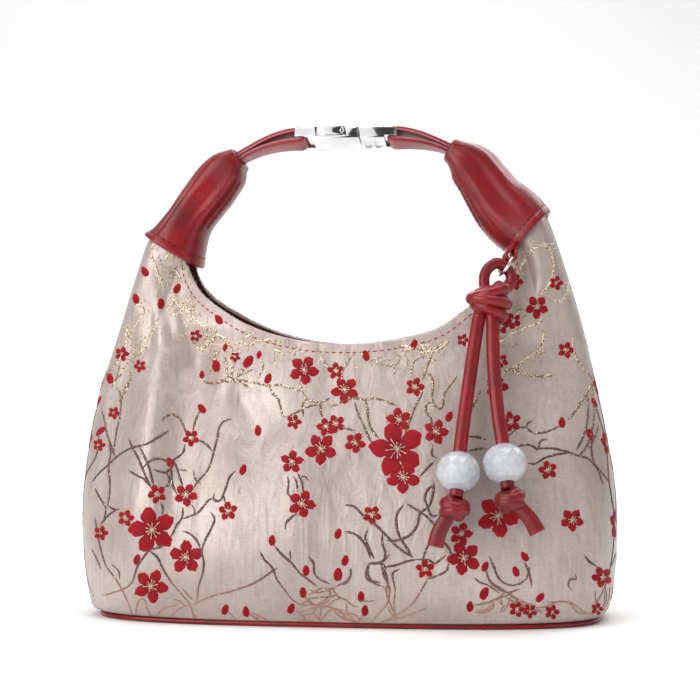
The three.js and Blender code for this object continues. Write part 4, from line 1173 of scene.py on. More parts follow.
# %% Plated copies of the clasp's pieces
def rounded_copy(node_name, new_name, size, body="purse"):
    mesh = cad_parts[node_name].data.copy()
    mesh.materials.clear()
    shape = bmesh.new()
    shape.from_mesh(mesh)
    bmesh.ops.remove_doubles(shape, verts=shape.verts, dist=2e-6)
    bmesh.ops.dissolve_limit(shape, angle_limit=math.radians(2), verts=shape.verts, edges=shape.edges)
    folded = [edge for edge in shape.edges if len(edge.link_faces) == 2]
    sharp = [edge for edge in folded if edge.calc_face_angle() > math.radians(40)]
    bmesh.ops.bevel(
        shape, geom=sharp, offset=size * MM, segments=2, affect="EDGES", profile=0.5, clamp_overlap=True
    )
    bmesh.ops.triangulate(shape, faces=[face for face in shape.faces if len(face.verts) > 4])
    shape.to_mesh(mesh)
    shape.free()
    mesh.name = new_name
    mesh.polygons.foreach_set("use_smooth", [True] * len(mesh.polygons))
    mesh.set_sharp_from_angle(angle=math.radians(28))
    return finish_piece(add_object(new_name, mesh), CHROME, "chrome", node_name, body=body)


rounded_copy("clasp_left", "clasp_left_plated", 0.2)
rounded_copy("clasp_right", "clasp_right_plated", 0.2)
rounded_copy("clasp_lever", "clasp_lever_plated", 0.2, body="lever")
rounded_copy("lever_pin", "lever_pin_plated", 0.12)
print("clasp pieces rounded")

# %% [markdown]
# ## Base and piping
# The purse stands on a stiff leather bottom. A narrow roll of leather is sewn all round it, between the
# bottom and the cloth, and its seam shows as a fine groove.

# %% The base and its piping
def base_outline(inset, count):
    turn = np.arange(count) / count * 2 * math.pi
    c, s = np.cos(turn), np.sin(turn)
    power = 2 / SECTIONS["squareness"][0]
    x = np.sign(c) * np.abs(c) ** power * (BASE_LENGTH / 2 - inset)
    y = np.sign(s) * np.abs(s) ** power * (BASE_DEPTH / 2 - inset)
    fine = np.stack([np.append(x, x[0]), np.append(y, y[0]), np.zeros(count + 1)], 1)
    return evenly(fine, count, endpoint=False)


BASE_SIDES = 320
piping_line = base_outline(PIPING_DIAMETER / 2, BASE_SIDES)
piping_line[:, 2] = PIPING_DIAMETER / 2
roll = swept(piping_line, oval(PIPING_DIAMETER, PIPING_DIAMETER, 14), (1, 0, 0), closed=True)
piping = hoop("piping_leather", roll)
finish_piece(piping, SLEEVE_LEATHER, "red_leather", "base_piping")

# The board's edge, as inset and height: over the top, round the eased rim and under the foot.
BOARD_EDGE = [
    (36, BASE_THICKNESS), (12, BASE_THICKNESS), (2.2, BASE_THICKNESS), (2.0, 1.6), (2.2, 1.0), (2.0, 0.35),
    (2.2, 0), (12, 0),
]
rows = [base_outline(inset, BASE_SIDES) + [0, 0, z] for inset, z in BOARD_EDGE]
base = rod("base_leather", np.stack(rows))
finish_piece(base, SLEEVE_LEATHER, "red_leather", "leather_base")
print("piping runs", round(length_of(piping_line)), "mm")

# %% [markdown]
# ## The charm
# A leather tab hangs from the hem of the right sleeve and holds a chrome ring. A cord goes up from a
# big knot, through the ring and back down into the knot, and its two ends hang as the tails. The cord
# is a strip of leather rolled round a core and closed with a row of stitches. A knot is turns of that
# same cord pulled tight, so it is made as tilted rings of cord pressed together.

# %% Tab, ring, loop and big knot
TAB_WIDTH, TAB_THICKNESS, TAB_DROP, RING_WIRE, RING_SLACK = 3.6, 1.1, 7.2, 1.3, 0.6
KNOT_SIZE, END_KNOT_SIZE = (18, 12.6, 13.6), (12, 9.6, 9)
BEAD_DIAMETER, BEAD_HEIGHT, BEAD_FIT = 16.8, 15.4, 0.4
ring_radius = (TAB_THICKNESS + CORD_DIAMETER + 3 * CLEARANCE + RING_SLACK + RING_WIRE) / 2
wire_bow = ring_radius - math.sqrt(ring_radius**2 - (TAB_WIDTH / 2) ** 2)
tab_top, tab_lean = np.array([66, -11.2, 145.8]), unit((-0.18, -0.76, -0.63))
ring_lean, ring_yaw = unit((-0.35, -0.5, -0.79)), math.radians(-20)
ring_side = unit(np.cross(ring_lean, (math.sin(ring_yaw), math.cos(ring_yaw), 0)))
ring_across = np.cross(ring_side, ring_lean)
wire_top = tab_top + tab_lean * TAB_DROP
ring_middle = wire_top + ring_lean * ring_radius

wire_size = RING_WIRE + 2 * wire_bow
tab = folded_band(tab_top, tab_lean, ring_side, wire_top, ring_lean, ring_side, wire_size, TAB_THICKNESS)
tab_piece = rod("charm_tab_leather", band_grid(*tab, TAB_WIDTH, TAB_THICKNESS, 0.08))
finish_piece(tab_piece, STRAP_LEATHER, "strap_leather", "charm_tab")

turn = np.linspace(0, 2 * math.pi, 96, endpoint=False)[:, None]
wire = ring_middle + ring_radius * (np.cos(turn) * ring_lean + np.sin(turn) * ring_across)
ring_piece = hoop("charm_ring_wire", swept(wire, oval(RING_WIRE, RING_WIRE), ring_side, closed=True))
finish_piece(ring_piece, CHROME, "chrome", "charm_ring")

loop_line = smooth_line([(56, -25, 126), *LOOP_ROUTE, (61.5, -23.5, 126)], 96)
loop_piece = rod("charm_loop_cord", swept(loop_line, oval(CORD_DIAMETER, 4.2, 28), (0, 1, 0)))
finish_piece(loop_piece, CORD_LEATHER, "cord_leather", "charm_loop")


def cord_turn(middle, size, pitch, roll, lift, fat, bulge):
    """A turn of cord round a knot, tilted about X by the pitch and about Y by the roll."""
    around = np.linspace(0, 2 * math.pi, 72, endpoint=False)
    reach = (size[0] / 2 - fat) * bulge
    deep = reach * size[1] / size[0]
    line = np.stack([np.cos(around) * reach, np.sin(around) * deep, 0 * around], 1)
    p, r = math.radians(pitch), math.radians(roll)
    about_x = np.array([[1, 0, 0], [0, math.cos(p), -math.sin(p)], [0, math.sin(p), math.cos(p)]])
    about_y = np.array([[math.cos(r), 0, math.sin(r)], [0, 1, 0], [-math.sin(r), 0, math.cos(r)]])
    line = line @ (about_y @ about_x).T + np.array(middle) + [0, 0, lift * size[2]]
    return swept(line, oval(2 * fat, 2 * fat, 24), (0, 0, 1), closed=True)


def knot_grids(middle, size, turns):
    return [cord_turn(middle, size, *turn) for turn in turns]


def knot_core(name, middle, size):
    polar = np.linspace(0.05, math.pi - 0.05, 20)[:, None]
    around = np.linspace(0, 2 * math.pi, 36, endpoint=False)[None, :]
    x, y = np.sin(polar) * np.cos(around), np.sin(polar) * np.sin(around)
    ball = np.stack([x * (size[0] / 2 - 1.6), y * (size[1] / 2 - 1.6), np.cos(polar) + 0 * x], -1)
    ball[..., 2] *= size[2] / 2 - 0.8
    return finish_piece(rod(name, ball + np.array(middle)), CORD_LEATHER, "cord_leather")


# Each turn: pitch and roll in degrees, lift as a share of the knot, the cord's half thickness, bulge.
big_turns = [
    (8, -16, 0.24, 2.15, 0.92), (-6, 9, -0.02, 2.3, 1.02), (-8, 22, -0.27, 2.1, 0.86),
    (4, -52, 0.06, 2.1, 0.9),
]
big_knot = merged("charm_knot_turns", knot_grids(KNOT_MIDDLE, KNOT_SIZE, big_turns), close_rows=True)
finish_piece(big_knot, CORD_LEATHER, "cord_leather", "charm_knot")
knot_core("charm_knot_core", KNOT_MIDDLE, KNOT_SIZE)
print("ring radius", round(ring_radius, 2), "mm")

# %% [markdown]
# ## Tails, beads and end knots
# Each tail leaves the big knot, runs through a bead's hole and ends in a small knot with its cut end
# hanging below. The beads are cut glass: rows of small triangles round a slightly squat ball.

# %% The two tails
BEAD_SIDES, BEAD_ROWS = 12, 7


def cut_bead(name, middle, lean):
    """A faceted ball with a drilled hole along its lean."""
    axis = -unit(lean)
    side = unit(np.cross(axis, (0, 1, 0)))
    ahead = np.cross(side, axis)
    hole = CORD_DIAMETER / 2 + BEAD_FIT
    sides, rows, start = BEAD_SIDES, BEAD_ROWS, math.asin(2 * hole / BEAD_DIAMETER)
    points, faces = [], []
    for i in range(rows + 1):
        polar = lerp(start, math.pi - start, i / rows)
        for k in range(sides):
            around = 2 * math.pi * (k + 0.5 * (i % 2)) / sides
            flat = math.sin(polar) * BEAD_DIAMETER / 2
            level = math.cos(polar) * BEAD_HEIGHT / 2
            points.append((flat * math.cos(around), flat * math.sin(around), level))
    for i in range(rows):
        for k in range(sides):
            a, b = i * sides + k, i * sides + (k + 1) % sides
            c, d = a + sides, b + sides
            faces += [(a, c, b), (b, c, d)] if i % 2 == 0 else [(a, c, d), (a, d, b)]
    bore = len(points)
    for end in (1, -1):
        level = end * math.cos(start) * BEAD_HEIGHT / 2
        for k in range(sides):
            around = 2 * math.pi * k / sides
            points.append((hole * 0.96 * math.cos(around), hole * 0.96 * math.sin(around), level * 0.97))
    for k in range(sides):
        a, b = k, (k + 1) % sides
        faces += [(a, b, bore + b, bore + a), (bore + a, bore + b, bore + sides + b, bore + sides + a)]
        faces.append((rows * sides + b, rows * sides + a, bore + sides + a, bore + sides + b))
    placed = [np.array(middle) + side * x + ahead * y + axis * z for x, y, z in points]
    mesh = bpy.data.meshes.new(name)
    mesh.from_pydata((np.array(placed) * MM).tolist(), [], faces)
    shape = bmesh.new()
    shape.from_mesh(mesh)
    bmesh.ops.recalc_face_normals(shape, faces=shape.faces)
    sharp = [edge for edge in shape.edges if edge.calc_face_angle() > math.radians(8)]
    bmesh.ops.bevel(shape, geom=sharp, offset=0.12 * MM, segments=1, affect="EDGES", clamp_overlap=True)
    shape.to_mesh(mesh)
    shape.free()
    return add_object(name, mesh)


def tail_parts(side, tail):
    line = smooth_line(tail["route"], 140)
    cord = rod(f"tail_{side}_cord", swept(line, oval(5.2, 4.1, 28), (1, 0, 0)))
    finish_piece(cord, CORD_LEATHER, "cord_leather", f"charm_tail_{side}")
    sides, ups = frames_along(line, (1, 0, 0))
    front = np.where(ups[:, 1:2] < 0, ups, -ups)
    seam = line + front * 1.95 + sides * 0.75
    bare = slice(4, 100)  # the length above the bead
    stitches = stitch_row(seam[bare], front[bare] + sides[bare] * 0.3, 2.3, 0.62, 0.5, 0.02)
    place_all(stitches, f"tail_{side}_stitches", DARK_THREAD, "cord_leather")

    bead = cut_bead(f"bead_{side}_glass", tail["bead"], tail["lean"])
    finish_piece(bead, BEAD_GLASS, "frosted_bead", f"bead_{side}")

    tilt = 1 if side == "left" else -1
    turns = [(12, 9 * tilt, 0.13, 2.3, 0.96), (-8, -5 * tilt, -0.14, 2.3, 0.98), (8, 60 * tilt, 0, 2.1, 0.9)]
    grids = knot_grids(tail["knot"], END_KNOT_SIZE, turns)
    knot = merged(f"end_knot_{side}_turns", grids, close_rows=True)
    finish_piece(knot, CORD_LEATHER, "cord_leather", f"end_knot_{side}")
    core = knot_core(f"end_knot_{side}_core", tail["knot"], END_KNOT_SIZE)
    cut_line = smooth_line([tail["knot"], *tail["cut"]], 40)
    widening = np.linspace(0.9, 1.08, 40)
    cut = rod(f"cut_end_{side}_cord", swept(cut_line, oval(3.6, 5.8, 28), (0, 1, 0), scale=widening))
    finish_piece(cut, CORD_LEATHER, "cord_leather")
    path = smooth_line(tail["route"], 36) * MM
    return length_of(path)


for side, tail in TAILS.items():
    print(side, "tail", round(tail_parts(side, tail) * 1000, 1), "mm")

# %% [markdown]
# ## Charting the pattern
# The brocade carries an old pattern: plum branches with blossoms and buds. A weaver works from a chart.
# This one was charted from enlarged views of the purse, one branch after another, as a few
# turning points each. Every view has its own corner and enlargement, so a chart's points are turned
# into places in the front view, and from there a line of sight finds the cloth.

# %% Branch charts, read branch by branch
BRANCH_CHARTS = {
    "left": {"corner": (90, 330), "enlarged": 5.058, "branches": [
        [(590, 0), (585, 50), (575, 100), (545, 85), (515, 60)], [(635, 25), (600, 65), (580, 100)],
        [(640, 20), (690, 50), (715, 90), (725, 120)], [(628, 90), (632, 150), (640, 170)],
        [(678, 110), (685, 160), (690, 200), (700, 240), (720, 262)],
        [(725, 115), (720, 90), (760, 60), (800, 30), (840, 10)],
        [(730, 150), (722, 190), (715, 235), (700, 262), (672, 255), (640, 268), (580, 262), (560, 250)],
        [(700, 262), (740, 235), (790, 215), (830, 195)], [(702, 262), (760, 262), (800, 290), (820, 300)],
        [(735, 240), (760, 195), (780, 200), (800, 190)], [(850, 245), (865, 215), (875, 170), (862, 145)],
        [(700, 262), (750, 255), (830, 265), (900, 280), (960, 278), (1020, 295), (1075, 310)],
        [(905, 280), (925, 320), (950, 345), (965, 390), (975, 430), (990, 445)],
        [(1075, 310), (1090, 345), (1075, 380), (1080, 440)],
        [(1090, 350), (1130, 360), (1160, 370), (1170, 430), (1185, 460)],
        [(1160, 370), (1190, 355), (1214, 345)],
        [(990, 440), (1040, 420), (1080, 395), (1130, 380), (1155, 380)],
        [(1060, 225), (1065, 250), (1060, 275), (1075, 300)], [(920, 95), (960, 110), (985, 130)],
        [(1150, 105), (1175, 150), (1200, 180), (1214, 190)], [(1040, 150), (1035, 110), (1050, 60)],
        [(760, 60), (800, 75), (840, 60), (900, 50), (960, 70)],
        [(335, 0), (290, 30), (262, 80), (258, 110), (262, 140)],
        [(232, 75), (215, 110), (190, 160), (165, 200), (150, 240)], [(205, 0), (190, 30), (185, 70)],
        [
            (205, 195), (210, 240), (185, 280), (165, 320), (155, 400), (150, 450), (135, 510), (128, 560),
            (120, 620),
        ],
        [(140, 295), (155, 330), (150, 370)], [(60, 410), (75, 460), (85, 520), (105, 580), (125, 640)],
        [(395, 510), (340, 545), (290, 575), (215, 595), (150, 630), (95, 680), (50, 720), (10, 770)],
        [(95, 580), (105, 620), (95, 680), (100, 760), (100, 830), (90, 890)],
        [(195, 545), (215, 595), (240, 640), (265, 700), (290, 760), (310, 800)],
        [(250, 590), (275, 640), (300, 700), (315, 760), (325, 790)],
        [(195, 710), (235, 735), (275, 755), (300, 790)],
        [(270, 695), (300, 665), (345, 650), (390, 665), (405, 690), (385, 720), (350, 715), (320, 705)],
        [(385, 720), (400, 750), (395, 785), (375, 795)], [(410, 680), (412, 740), (420, 790), (440, 830)],
        [(360, 460), (385, 435), (420, 428), (455, 450), (475, 490), (490, 530)],
        [(520, 515), (530, 470), (545, 430), (555, 410)],
        [(480, 580), (470, 620), (440, 645), (412, 665), (408, 690)],
        [
            (715, 450), (680, 460), (655, 490), (645, 540), (635, 580), (620, 640), (600, 700), (570, 740),
            (545, 765), (525, 800),
        ],
        [(550, 555), (590, 580), (620, 615)], [(420, 655), (440, 700), (455, 750), (470, 790)],
        [(455, 705), (490, 712)], [(525, 715), (530, 745), (560, 780)],
        [(735, 712), (705, 745), (690, 790), (675, 830), (660, 860), (640, 865), (625, 850), (630, 825)],
        [(625, 850), (600, 860), (575, 890), (545, 925), (510, 940), (470, 955)], [(675, 830), (685, 880)],
        [(470, 895), (465, 950), (440, 985), (418, 1030), (405, 1050)],
        [(515, 885), (530, 910), (528, 935)], [(355, 870), (368, 900), (365, 935)],
        [(465, 1015), (505, 1030), (540, 1065), (560, 1110)],
        [
            (610, 920), (630, 955), (610, 1010), (580, 1070), (565, 1120), (575, 1170), (570, 1230),
            (550, 1290), (540, 1370),
        ],
        [(300, 1110), (345, 1100), (380, 1085)],
        [
            (300, 1110), (270, 1150), (240, 1195), (225, 1240), (210, 1280), (170, 1310), (110, 1330),
            (60, 1345),
        ],
        [
            (300, 1115), (340, 1150), (365, 1200), (400, 1260), (440, 1310), (490, 1370), (510, 1400),
            (520, 1440), (545, 1490),
        ],
        [(25, 800), (50, 850), (80, 900), (70, 960)], [(90, 890), (130, 910), (150, 905)],
        [(140, 905), (90, 940), (50, 990)],
        [(25, 950), (40, 1040), (60, 1130), (80, 1190), (130, 1260), (170, 1330), (200, 1400), (215, 1450)],
        [(10, 1110), (40, 1170), (55, 1210)], [(110, 1185), (145, 1220), (150, 1260)],
        [(465, 1305), (500, 1345), (525, 1370)], [(415, 1360), (450, 1370), (490, 1400)],
        [
            (945, 1205), (900, 1235), (840, 1275), (780, 1300), (700, 1325), (620, 1345), (570, 1365),
            (520, 1390),
        ],
        [
            (860, 1120), (880, 1160), (920, 1200), (945, 1260), (980, 1310), (1030, 1370), (1080, 1390),
            (1150, 1390),
        ],
        [(930, 1090), (970, 1135), (1020, 1180), (1060, 1230), (1100, 1260), (1150, 1300)],
        [(1010, 1115), (1015, 1160)],
        [(1105, 1145), (1130, 1180), (1135, 1230), (1160, 1260), (1214, 1285)],
        [(1050, 925), (1010, 955), (990, 980), (988, 1010)],
        [(1000, 740), (1005, 780), (1000, 820), (1015, 850)], [(1030, 740), (1045, 770), (1050, 820)],
        [(1050, 725), (1070, 765), (1080, 820)], [(1060, 745), (1085, 740), (1105, 762)],
        [(700, 1425), (735, 1460), (775, 1500)], [(805, 1435), (850, 1460), (910, 1490)],
        [(1040, 1420), (1080, 1450), (1110, 1500)],
        [(230, 1440), (235, 1400), (255, 1360), (275, 1365), (290, 1410), (320, 1470)],
        [(235, 1440), (290, 1470), (340, 1480), (400, 1450), (470, 1400), (510, 1390)],
        [(320, 1460), (370, 1410), (440, 1390)], [(520, 1430), (560, 1480), (600, 1500)],
        [(1085, 1345), (1110, 1380), (1150, 1390), (1200, 1375), (1214, 1360)],
        [(1150, 1390), (1130, 1430), (1080, 1440)],
        [(1150, 1390), (1170, 1420), (1160, 1460), (1180, 1500)],
        [(1110, 1340), (1140, 1320), (1180, 1300)],
    ]},
    "right": {"corner": (330, 330), "enlarged": 5.058, "branches": [
        [(125, 115), (90, 160), (65, 200), (60, 240), (55, 260)], [(0, 185), (30, 210), (50, 240)],
        [(215, 140), (250, 170), (300, 180), (340, 170), (352, 155)],
        [(330, 90), (380, 80), (430, 90), (470, 75), (510, 90), (500, 110), (470, 120)],
        [(600, 60), (560, 75), (520, 110), (500, 160), (485, 200), (470, 250)],
        [(470, 125), (430, 150), (415, 190), (410, 245)],
        [
            (480, 205), (515, 240), (520, 290), (515, 340), (530, 380), (555, 400), (570, 380), (575, 330),
            (600, 290), (640, 235),
        ],
        [(515, 365), (490, 375), (485, 410), (510, 450), (520, 490)],
        [(470, 310), (445, 360), (420, 410), (400, 470), (380, 520)],
        [(0, 390), (60, 365), (120, 345), (180, 352), (230, 345), (280, 360), (340, 383)],
        [(125, 365), (140, 420), (165, 470), (190, 530), (215, 580)],
        [(180, 355), (190, 410), (195, 460), (215, 510), (245, 545)], [(60, 490), (125, 510)],
        [(520, 580), (515, 630), (540, 650)], [(455, 740), (500, 690), (530, 660)],
        [(75, 885), (120, 892), (170, 940), (230, 985), (290, 1045), (350, 1105), (420, 1150)],
        [(370, 885), (340, 930), (335, 970), (350, 1040), (380, 1090), (415, 1145)],
        [(390, 880), (440, 910), (490, 945), (550, 1010)],
        [(530, 785), (500, 800), (480, 850), (495, 900), (515, 940), (550, 935)],
        [(525, 770), (520, 830), (500, 890), (455, 930), (440, 990), (400, 1040), (330, 1065), (290, 1065)],
        [(265, 1030), (265, 1080), (280, 1130), (270, 1155)],
        [(190, 1010), (178, 1050), (195, 1100), (225, 1160)],
        [(75, 1018), (120, 1030), (155, 1055), (185, 1100), (205, 1155)],
        [(300, 1135), (270, 1165), (240, 1180), (205, 1185)],
        [(200, 1185), (190, 1220), (205, 1260), (255, 1280)],
        [(270, 1200), (330, 1190), (390, 1170), (440, 1160)], [(470, 1160), (490, 1100), (520, 1060)],
        [(560, 1065), (590, 1090), (610, 1125), (600, 1160)],
        [(440, 1160), (500, 1165), (530, 1180), (560, 1160), (585, 1140)],
        [(490, 1260), (550, 1240), (590, 1215), (600, 1180)],
        [(490, 1265), (460, 1320), (420, 1380), (370, 1420), (300, 1460), (210, 1495)],
        [(270, 1200), (290, 1260), (285, 1330), (310, 1400), (320, 1440)],
        [(260, 1190), (275, 1250), (300, 1300), (290, 1380), (230, 1450), (200, 1490)],
        [(490, 1405), (440, 1425), (370, 1450), (290, 1470)],
        [(80, 1485), (110, 1455), (90, 1440), (40, 1430)],
        [(0, 1400), (60, 1430), (100, 1480), (165, 1500)],
        [(100, 1210), (105, 1240), (80, 1280), (40, 1290)],
        [(1085, 0), (1075, 60), (1050, 110), (1000, 140), (970, 170), (945, 205)],
        [(1050, 115), (1100, 122)],
        [(820, 215), (870, 215), (910, 195), (950, 210), (1000, 225), (1060, 235), (1140, 228)],
        [(765, 300), (740, 350), (715, 400), (700, 440)], [(690, 540), (740, 540), (790, 555)],
        [(950, 490), (990, 490), (1000, 470), (1025, 462)],
        [(990, 490), (1020, 515), (1070, 520), (1120, 505), (1160, 485)],
        [(1205, 455), (1240, 410), (1280, 350), (1310, 300), (1330, 250)],
        [(1300, 310), (1305, 400), (1300, 470), (1280, 540), (1245, 610)],
        [(1325, 240), (1330, 330), (1335, 430), (1320, 530), (1290, 600), (1260, 635)],
        [(1360, 480), (1340, 540), (1310, 600)],
        [(950, 590), (990, 578), (1030, 590), (1050, 605), (1060, 570), (1075, 555), (1100, 555)],
        [(1050, 600), (1120, 598), (1180, 610), (1240, 630), (1310, 655), (1355, 710), (1380, 780)],
        [(1000, 675), (1040, 675), (1080, 650), (1140, 630), (1210, 622)],
        [(1420, 815), (1425, 870), (1440, 930), (1450, 990)], [(890, 545), (920, 520), (950, 490)],
        [(700, 610), (760, 600), (790, 600)], [(1285, 1135), (1310, 1170), (1350, 1195)],
        [(1340, 1330), (1345, 1385)],
        [
            (1390, 1320), (1385, 1390), (1350, 1430), (1290, 1430), (1250, 1400), (1220, 1380),
            (1160, 1375), (1100, 1378),
        ],
        [(1240, 1235), (1245, 1260), (1215, 1260), (1205, 1290), (1225, 1320)],
        [
            (805, 1145), (830, 1200), (850, 1250), (890, 1285), (940, 1290), (980, 1270), (1000, 1240),
            (1010, 1200),
        ],
        [(790, 1225), (810, 1270), (850, 1300), (890, 1320)],
        [(985, 1175), (1000, 1210), (1015, 1260), (1020, 1300)], [(735, 1255), (760, 1280)],
        [(890, 1320), (860, 1350), (830, 1370), (780, 1380), (735, 1390)],
        [(890, 1320), (930, 1350), (990, 1380), (1040, 1395)], [(850, 1370), (880, 1400)],
        [(740, 1420), (790, 1415), (830, 1380)], [(900, 1330), (950, 1370), (1020, 1415), (1070, 1430)],
    ]},
    "foot": {"corner": (250, 540), "enlarged": 4, "branches": [
        [(0, 300), (40, 325), (90, 345)], [(0, 288), (50, 310), (105, 343)], [(128, 322), (150, 344)],
        [(345, 185), (385, 165), (402, 140), (404, 112)],
        [(200, 262), (240, 235), (280, 230), (330, 225), (352, 214)],
        [(230, 235), (260, 262), (300, 270), (340, 240), (375, 235), (410, 262), (435, 268)],
        [(240, 200), (270, 210), (310, 200), (345, 190)],
        [(300, 190), (322, 215), (300, 240), (262, 265), (255, 290), (285, 328)],
        [(330, 190), (345, 220), (380, 240)],
        [(190, 290), (240, 275), (290, 262), (330, 275), (350, 300), (385, 320)],
        [(270, 338), (310, 290), (340, 275), (375, 285)], [(385, 250), (390, 290), (420, 322), (458, 342)],
        [(220, 320), (250, 325), (300, 343)], [(350, 300), (400, 318), (430, 328), (452, 302)],
        [(375, 285), (420, 300), (440, 320)], [(430, 240), (470, 245), (500, 243)],
        [(470, 95), (500, 92), (535, 100), (545, 120)],
        [(600, 115), (572, 132), (580, 200), (575, 260), (582, 308)],
        [(470, 100), (465, 150), (500, 175), (530, 185)], [(895, 150), (920, 170), (950, 180), (1000, 215)],
        [(945, 120), (955, 160), (985, 190), (1030, 210), (1080, 195)],
        [(895, 262), (940, 255), (985, 235), (1020, 225), (1050, 210)],
        [(900, 290), (940, 290), (975, 265), (960, 240)],
        [(1020, 225), (1060, 250), (1120, 275), (1180, 285)], [(1010, 290), (1030, 260), (1045, 220)],
        [(1000, 230), (1010, 260), (1000, 290)], [(1060, 240), (1080, 270), (1100, 290)],
        [(1090, 262), (1140, 270), (1190, 265), (1240, 245), (1280, 255), (1310, 290), (1365, 296)],
        [(1380, 200), (1385, 250)], [(1420, 180), (1425, 240), (1400, 278), (1372, 294)],
        [(1440, 190), (1430, 250), (1410, 282)], [(590, 310), (560, 290), (553, 268)],
        [(165, 340), (205, 318), (235, 320)], [(530, 185), (548, 205)],
    ]},
    "left horn": {"corner": (85, 230), "enlarged": 9.2235, "branches": [
        [(650, 85), (610, 180), (620, 260), (650, 320), (670, 400), (700, 450), (720, 520), (740, 570)],
        [(720, 520), (760, 465)], [(650, 330), (655, 400), (690, 470), (700, 520)],
        [(780, 195), (745, 270), (735, 320)], [(780, 200), (810, 230), (780, 270)],
        [(800, 330), (850, 390), (880, 440), (895, 490)], [(760, 390), (830, 430), (880, 480)],
        [(900, 330), (940, 390), (960, 440)],
        [(600, 660), (590, 720), (560, 755), (520, 790), (470, 860), (410, 960), (380, 1010), (370, 1040)],
        [(440, 690), (500, 690), (540, 720), (550, 755)],
        [(745, 690), (790, 690), (830, 650), (800, 630), (765, 640)],
        [(830, 655), (870, 700), (930, 740), (980, 760)],
        [(870, 640), (895, 690), (880, 750), (830, 780), (790, 770), (740, 720)],
        [(960, 620), (985, 680), (970, 740), (950, 760), (935, 730), (950, 690)],
        [(1010, 690), (990, 750), (1000, 800), (960, 840), (925, 820), (935, 770)],
        [(1000, 800), (1050, 860), (1100, 890), (1130, 860), (1110, 820)],
        [(1030, 720), (1050, 780), (1080, 800)], [(880, 965), (930, 985)],
        [(1010, 1040), (1060, 1080), (1100, 1120), (1125, 1080), (1130, 1000), (1110, 940), (1140, 900)],
        [(1110, 1110), (1160, 1050), (1190, 1000), (1215, 950), (1190, 900)],
        [(1215, 960), (1270, 1000), (1340, 1060)], [(1200, 1090), (1210, 1150), (1180, 1220)],
        [(1280, 1120), (1295, 1200), (1310, 1280), (1290, 1380), (1200, 1415), (1110, 1400)],
        [(1160, 1310), (1170, 1240), (1205, 1180)],
        [(670, 910), (600, 960), (560, 1010), (530, 1060), (520, 1100)],
        [(465, 1060), (440, 1120), (470, 1160), (500, 1130)],
        [(440, 1130), (400, 1200), (360, 1270), (310, 1340), (260, 1420), (245, 1460)],
        [(400, 870), (380, 940), (375, 1000)], [(320, 1250), (300, 1340)],
        [(410, 1280), (430, 1330), (410, 1420), (370, 1500), (345, 1560)],
        [(290, 1465), (315, 1480), (325, 1560)],
    ]},
    "right horn": {"corner": (400, 230), "enlarged": 4.7515, "branches": [
        [(710, 65), (660, 75), (620, 100), (590, 150), (570, 190)],
        [(710, 65), (720, 110), (735, 170), (720, 230), (695, 280), (665, 310)],
        [(800, 230), (795, 300), (770, 335), (710, 335)], [(590, 370), (560, 390), (540, 420), (530, 460)],
        [(690, 410), (660, 440), (600, 460), (540, 485), (490, 520), (440, 560)],
        [(680, 480), (680, 530), (655, 580), (600, 610), (565, 640), (550, 665)], [(660, 580), (700, 588)],
        [(440, 685), (490, 680), (520, 660), (550, 675), (610, 690), (680, 692), (740, 688)],
        [(380, 770), (355, 820), (330, 870)], [(100, 545), (130, 575), (170, 575), (235, 530)],
        [(0, 575), (40, 570), (80, 560), (110, 585), (130, 580)],
    ]},
}
# Blossoms as across, down and radius in the front view, then the turn of their first petal in degrees.
BLOSSOM_CHART = [
    (196, 336, 6, 0), (235, 357, 5, 20), (304, 370, 14, 10), (122, 354, 7, 0), (140, 366, 6, 30),
    (108, 385, 6, 0), (107, 397, 7, 50), (114, 413, 6, 10), (99, 445, 6, 0), (191, 438, 8, 20),
    (294, 422, 7, 0), (326, 427, 9, 40), (321, 449, 15, 20), (292, 462, 11, 60), (302, 504, 13, 5),
    (157, 494, 9, 30), (186, 495, 11, 10), (228, 511, 9, 50), (126, 518, 8, 0), (152, 530, 22, 40),
    (101, 533, 7, 0), (186, 557, 16, -90), (151, 586, 16, 80), (450, 331, 9, 10), (463, 340, 6, 0),
    (345, 390, 13, 25), (415, 387, 9, 0), (336, 424, 9, 30), (399, 420, 12, 45), (355, 443, 10, 10),
    (436, 432, 12, 0), (397, 449, 26, 40), (403, 477, 16, 90), (372, 515, 9, 15), (497, 387, 11, 0),
    (501, 361, 7, 20), (511, 422, 10, 40), (498, 516, 20, 10), (461, 534, 11, 0), (464, 558, 16, 30),
    (425, 569, 9, 50), (517, 609, 8, 0), (530, 611, 7, 20), (552, 612, 7, 0), (602, 577, 10, 30),
    (597, 609, 6, 0), (557, 263, 6, 10), (556, 283, 7, 0), (537, 307, 11, 20), (515, 282, 8, 0),
    (513, 321, 8, 30), (501, 326, 8, 60), (336, 371, 8, 50), (548, 470, 9, 40), (572, 520, 11, 15),
    (566, 350, 8, 0),
]
BUD_CHART = [
    (225, 348, 3), (216, 366, 5), (202, 375, 3), (248, 362, 5), (259, 355, 3), (268, 379, 4), (202, 409, 4),
    (137, 560, 4), (272, 541, 4), (306, 571, 4), (303, 593, 4), (291, 609, 4), (225, 610, 4), (246, 612, 4),
    (366, 356, 4), (414, 345, 4), (449, 417, 4), (562, 423, 4), (599, 411, 3), (485, 567, 4), (525, 557, 4),
    (516, 572, 4), (484, 594, 5), (470, 607, 4), (540, 598, 4), (345, 561, 4), (338, 575, 5), (361, 597, 4),
    (365, 611, 4), (338, 534, 4), (177, 289, 4), (161, 304, 4), (198, 288, 4), (219, 320, 4), (145, 272, 4),
    (136, 299, 4), (110, 379, 4), (243, 470, 4), (258, 431, 4), (170, 463, 4),
]
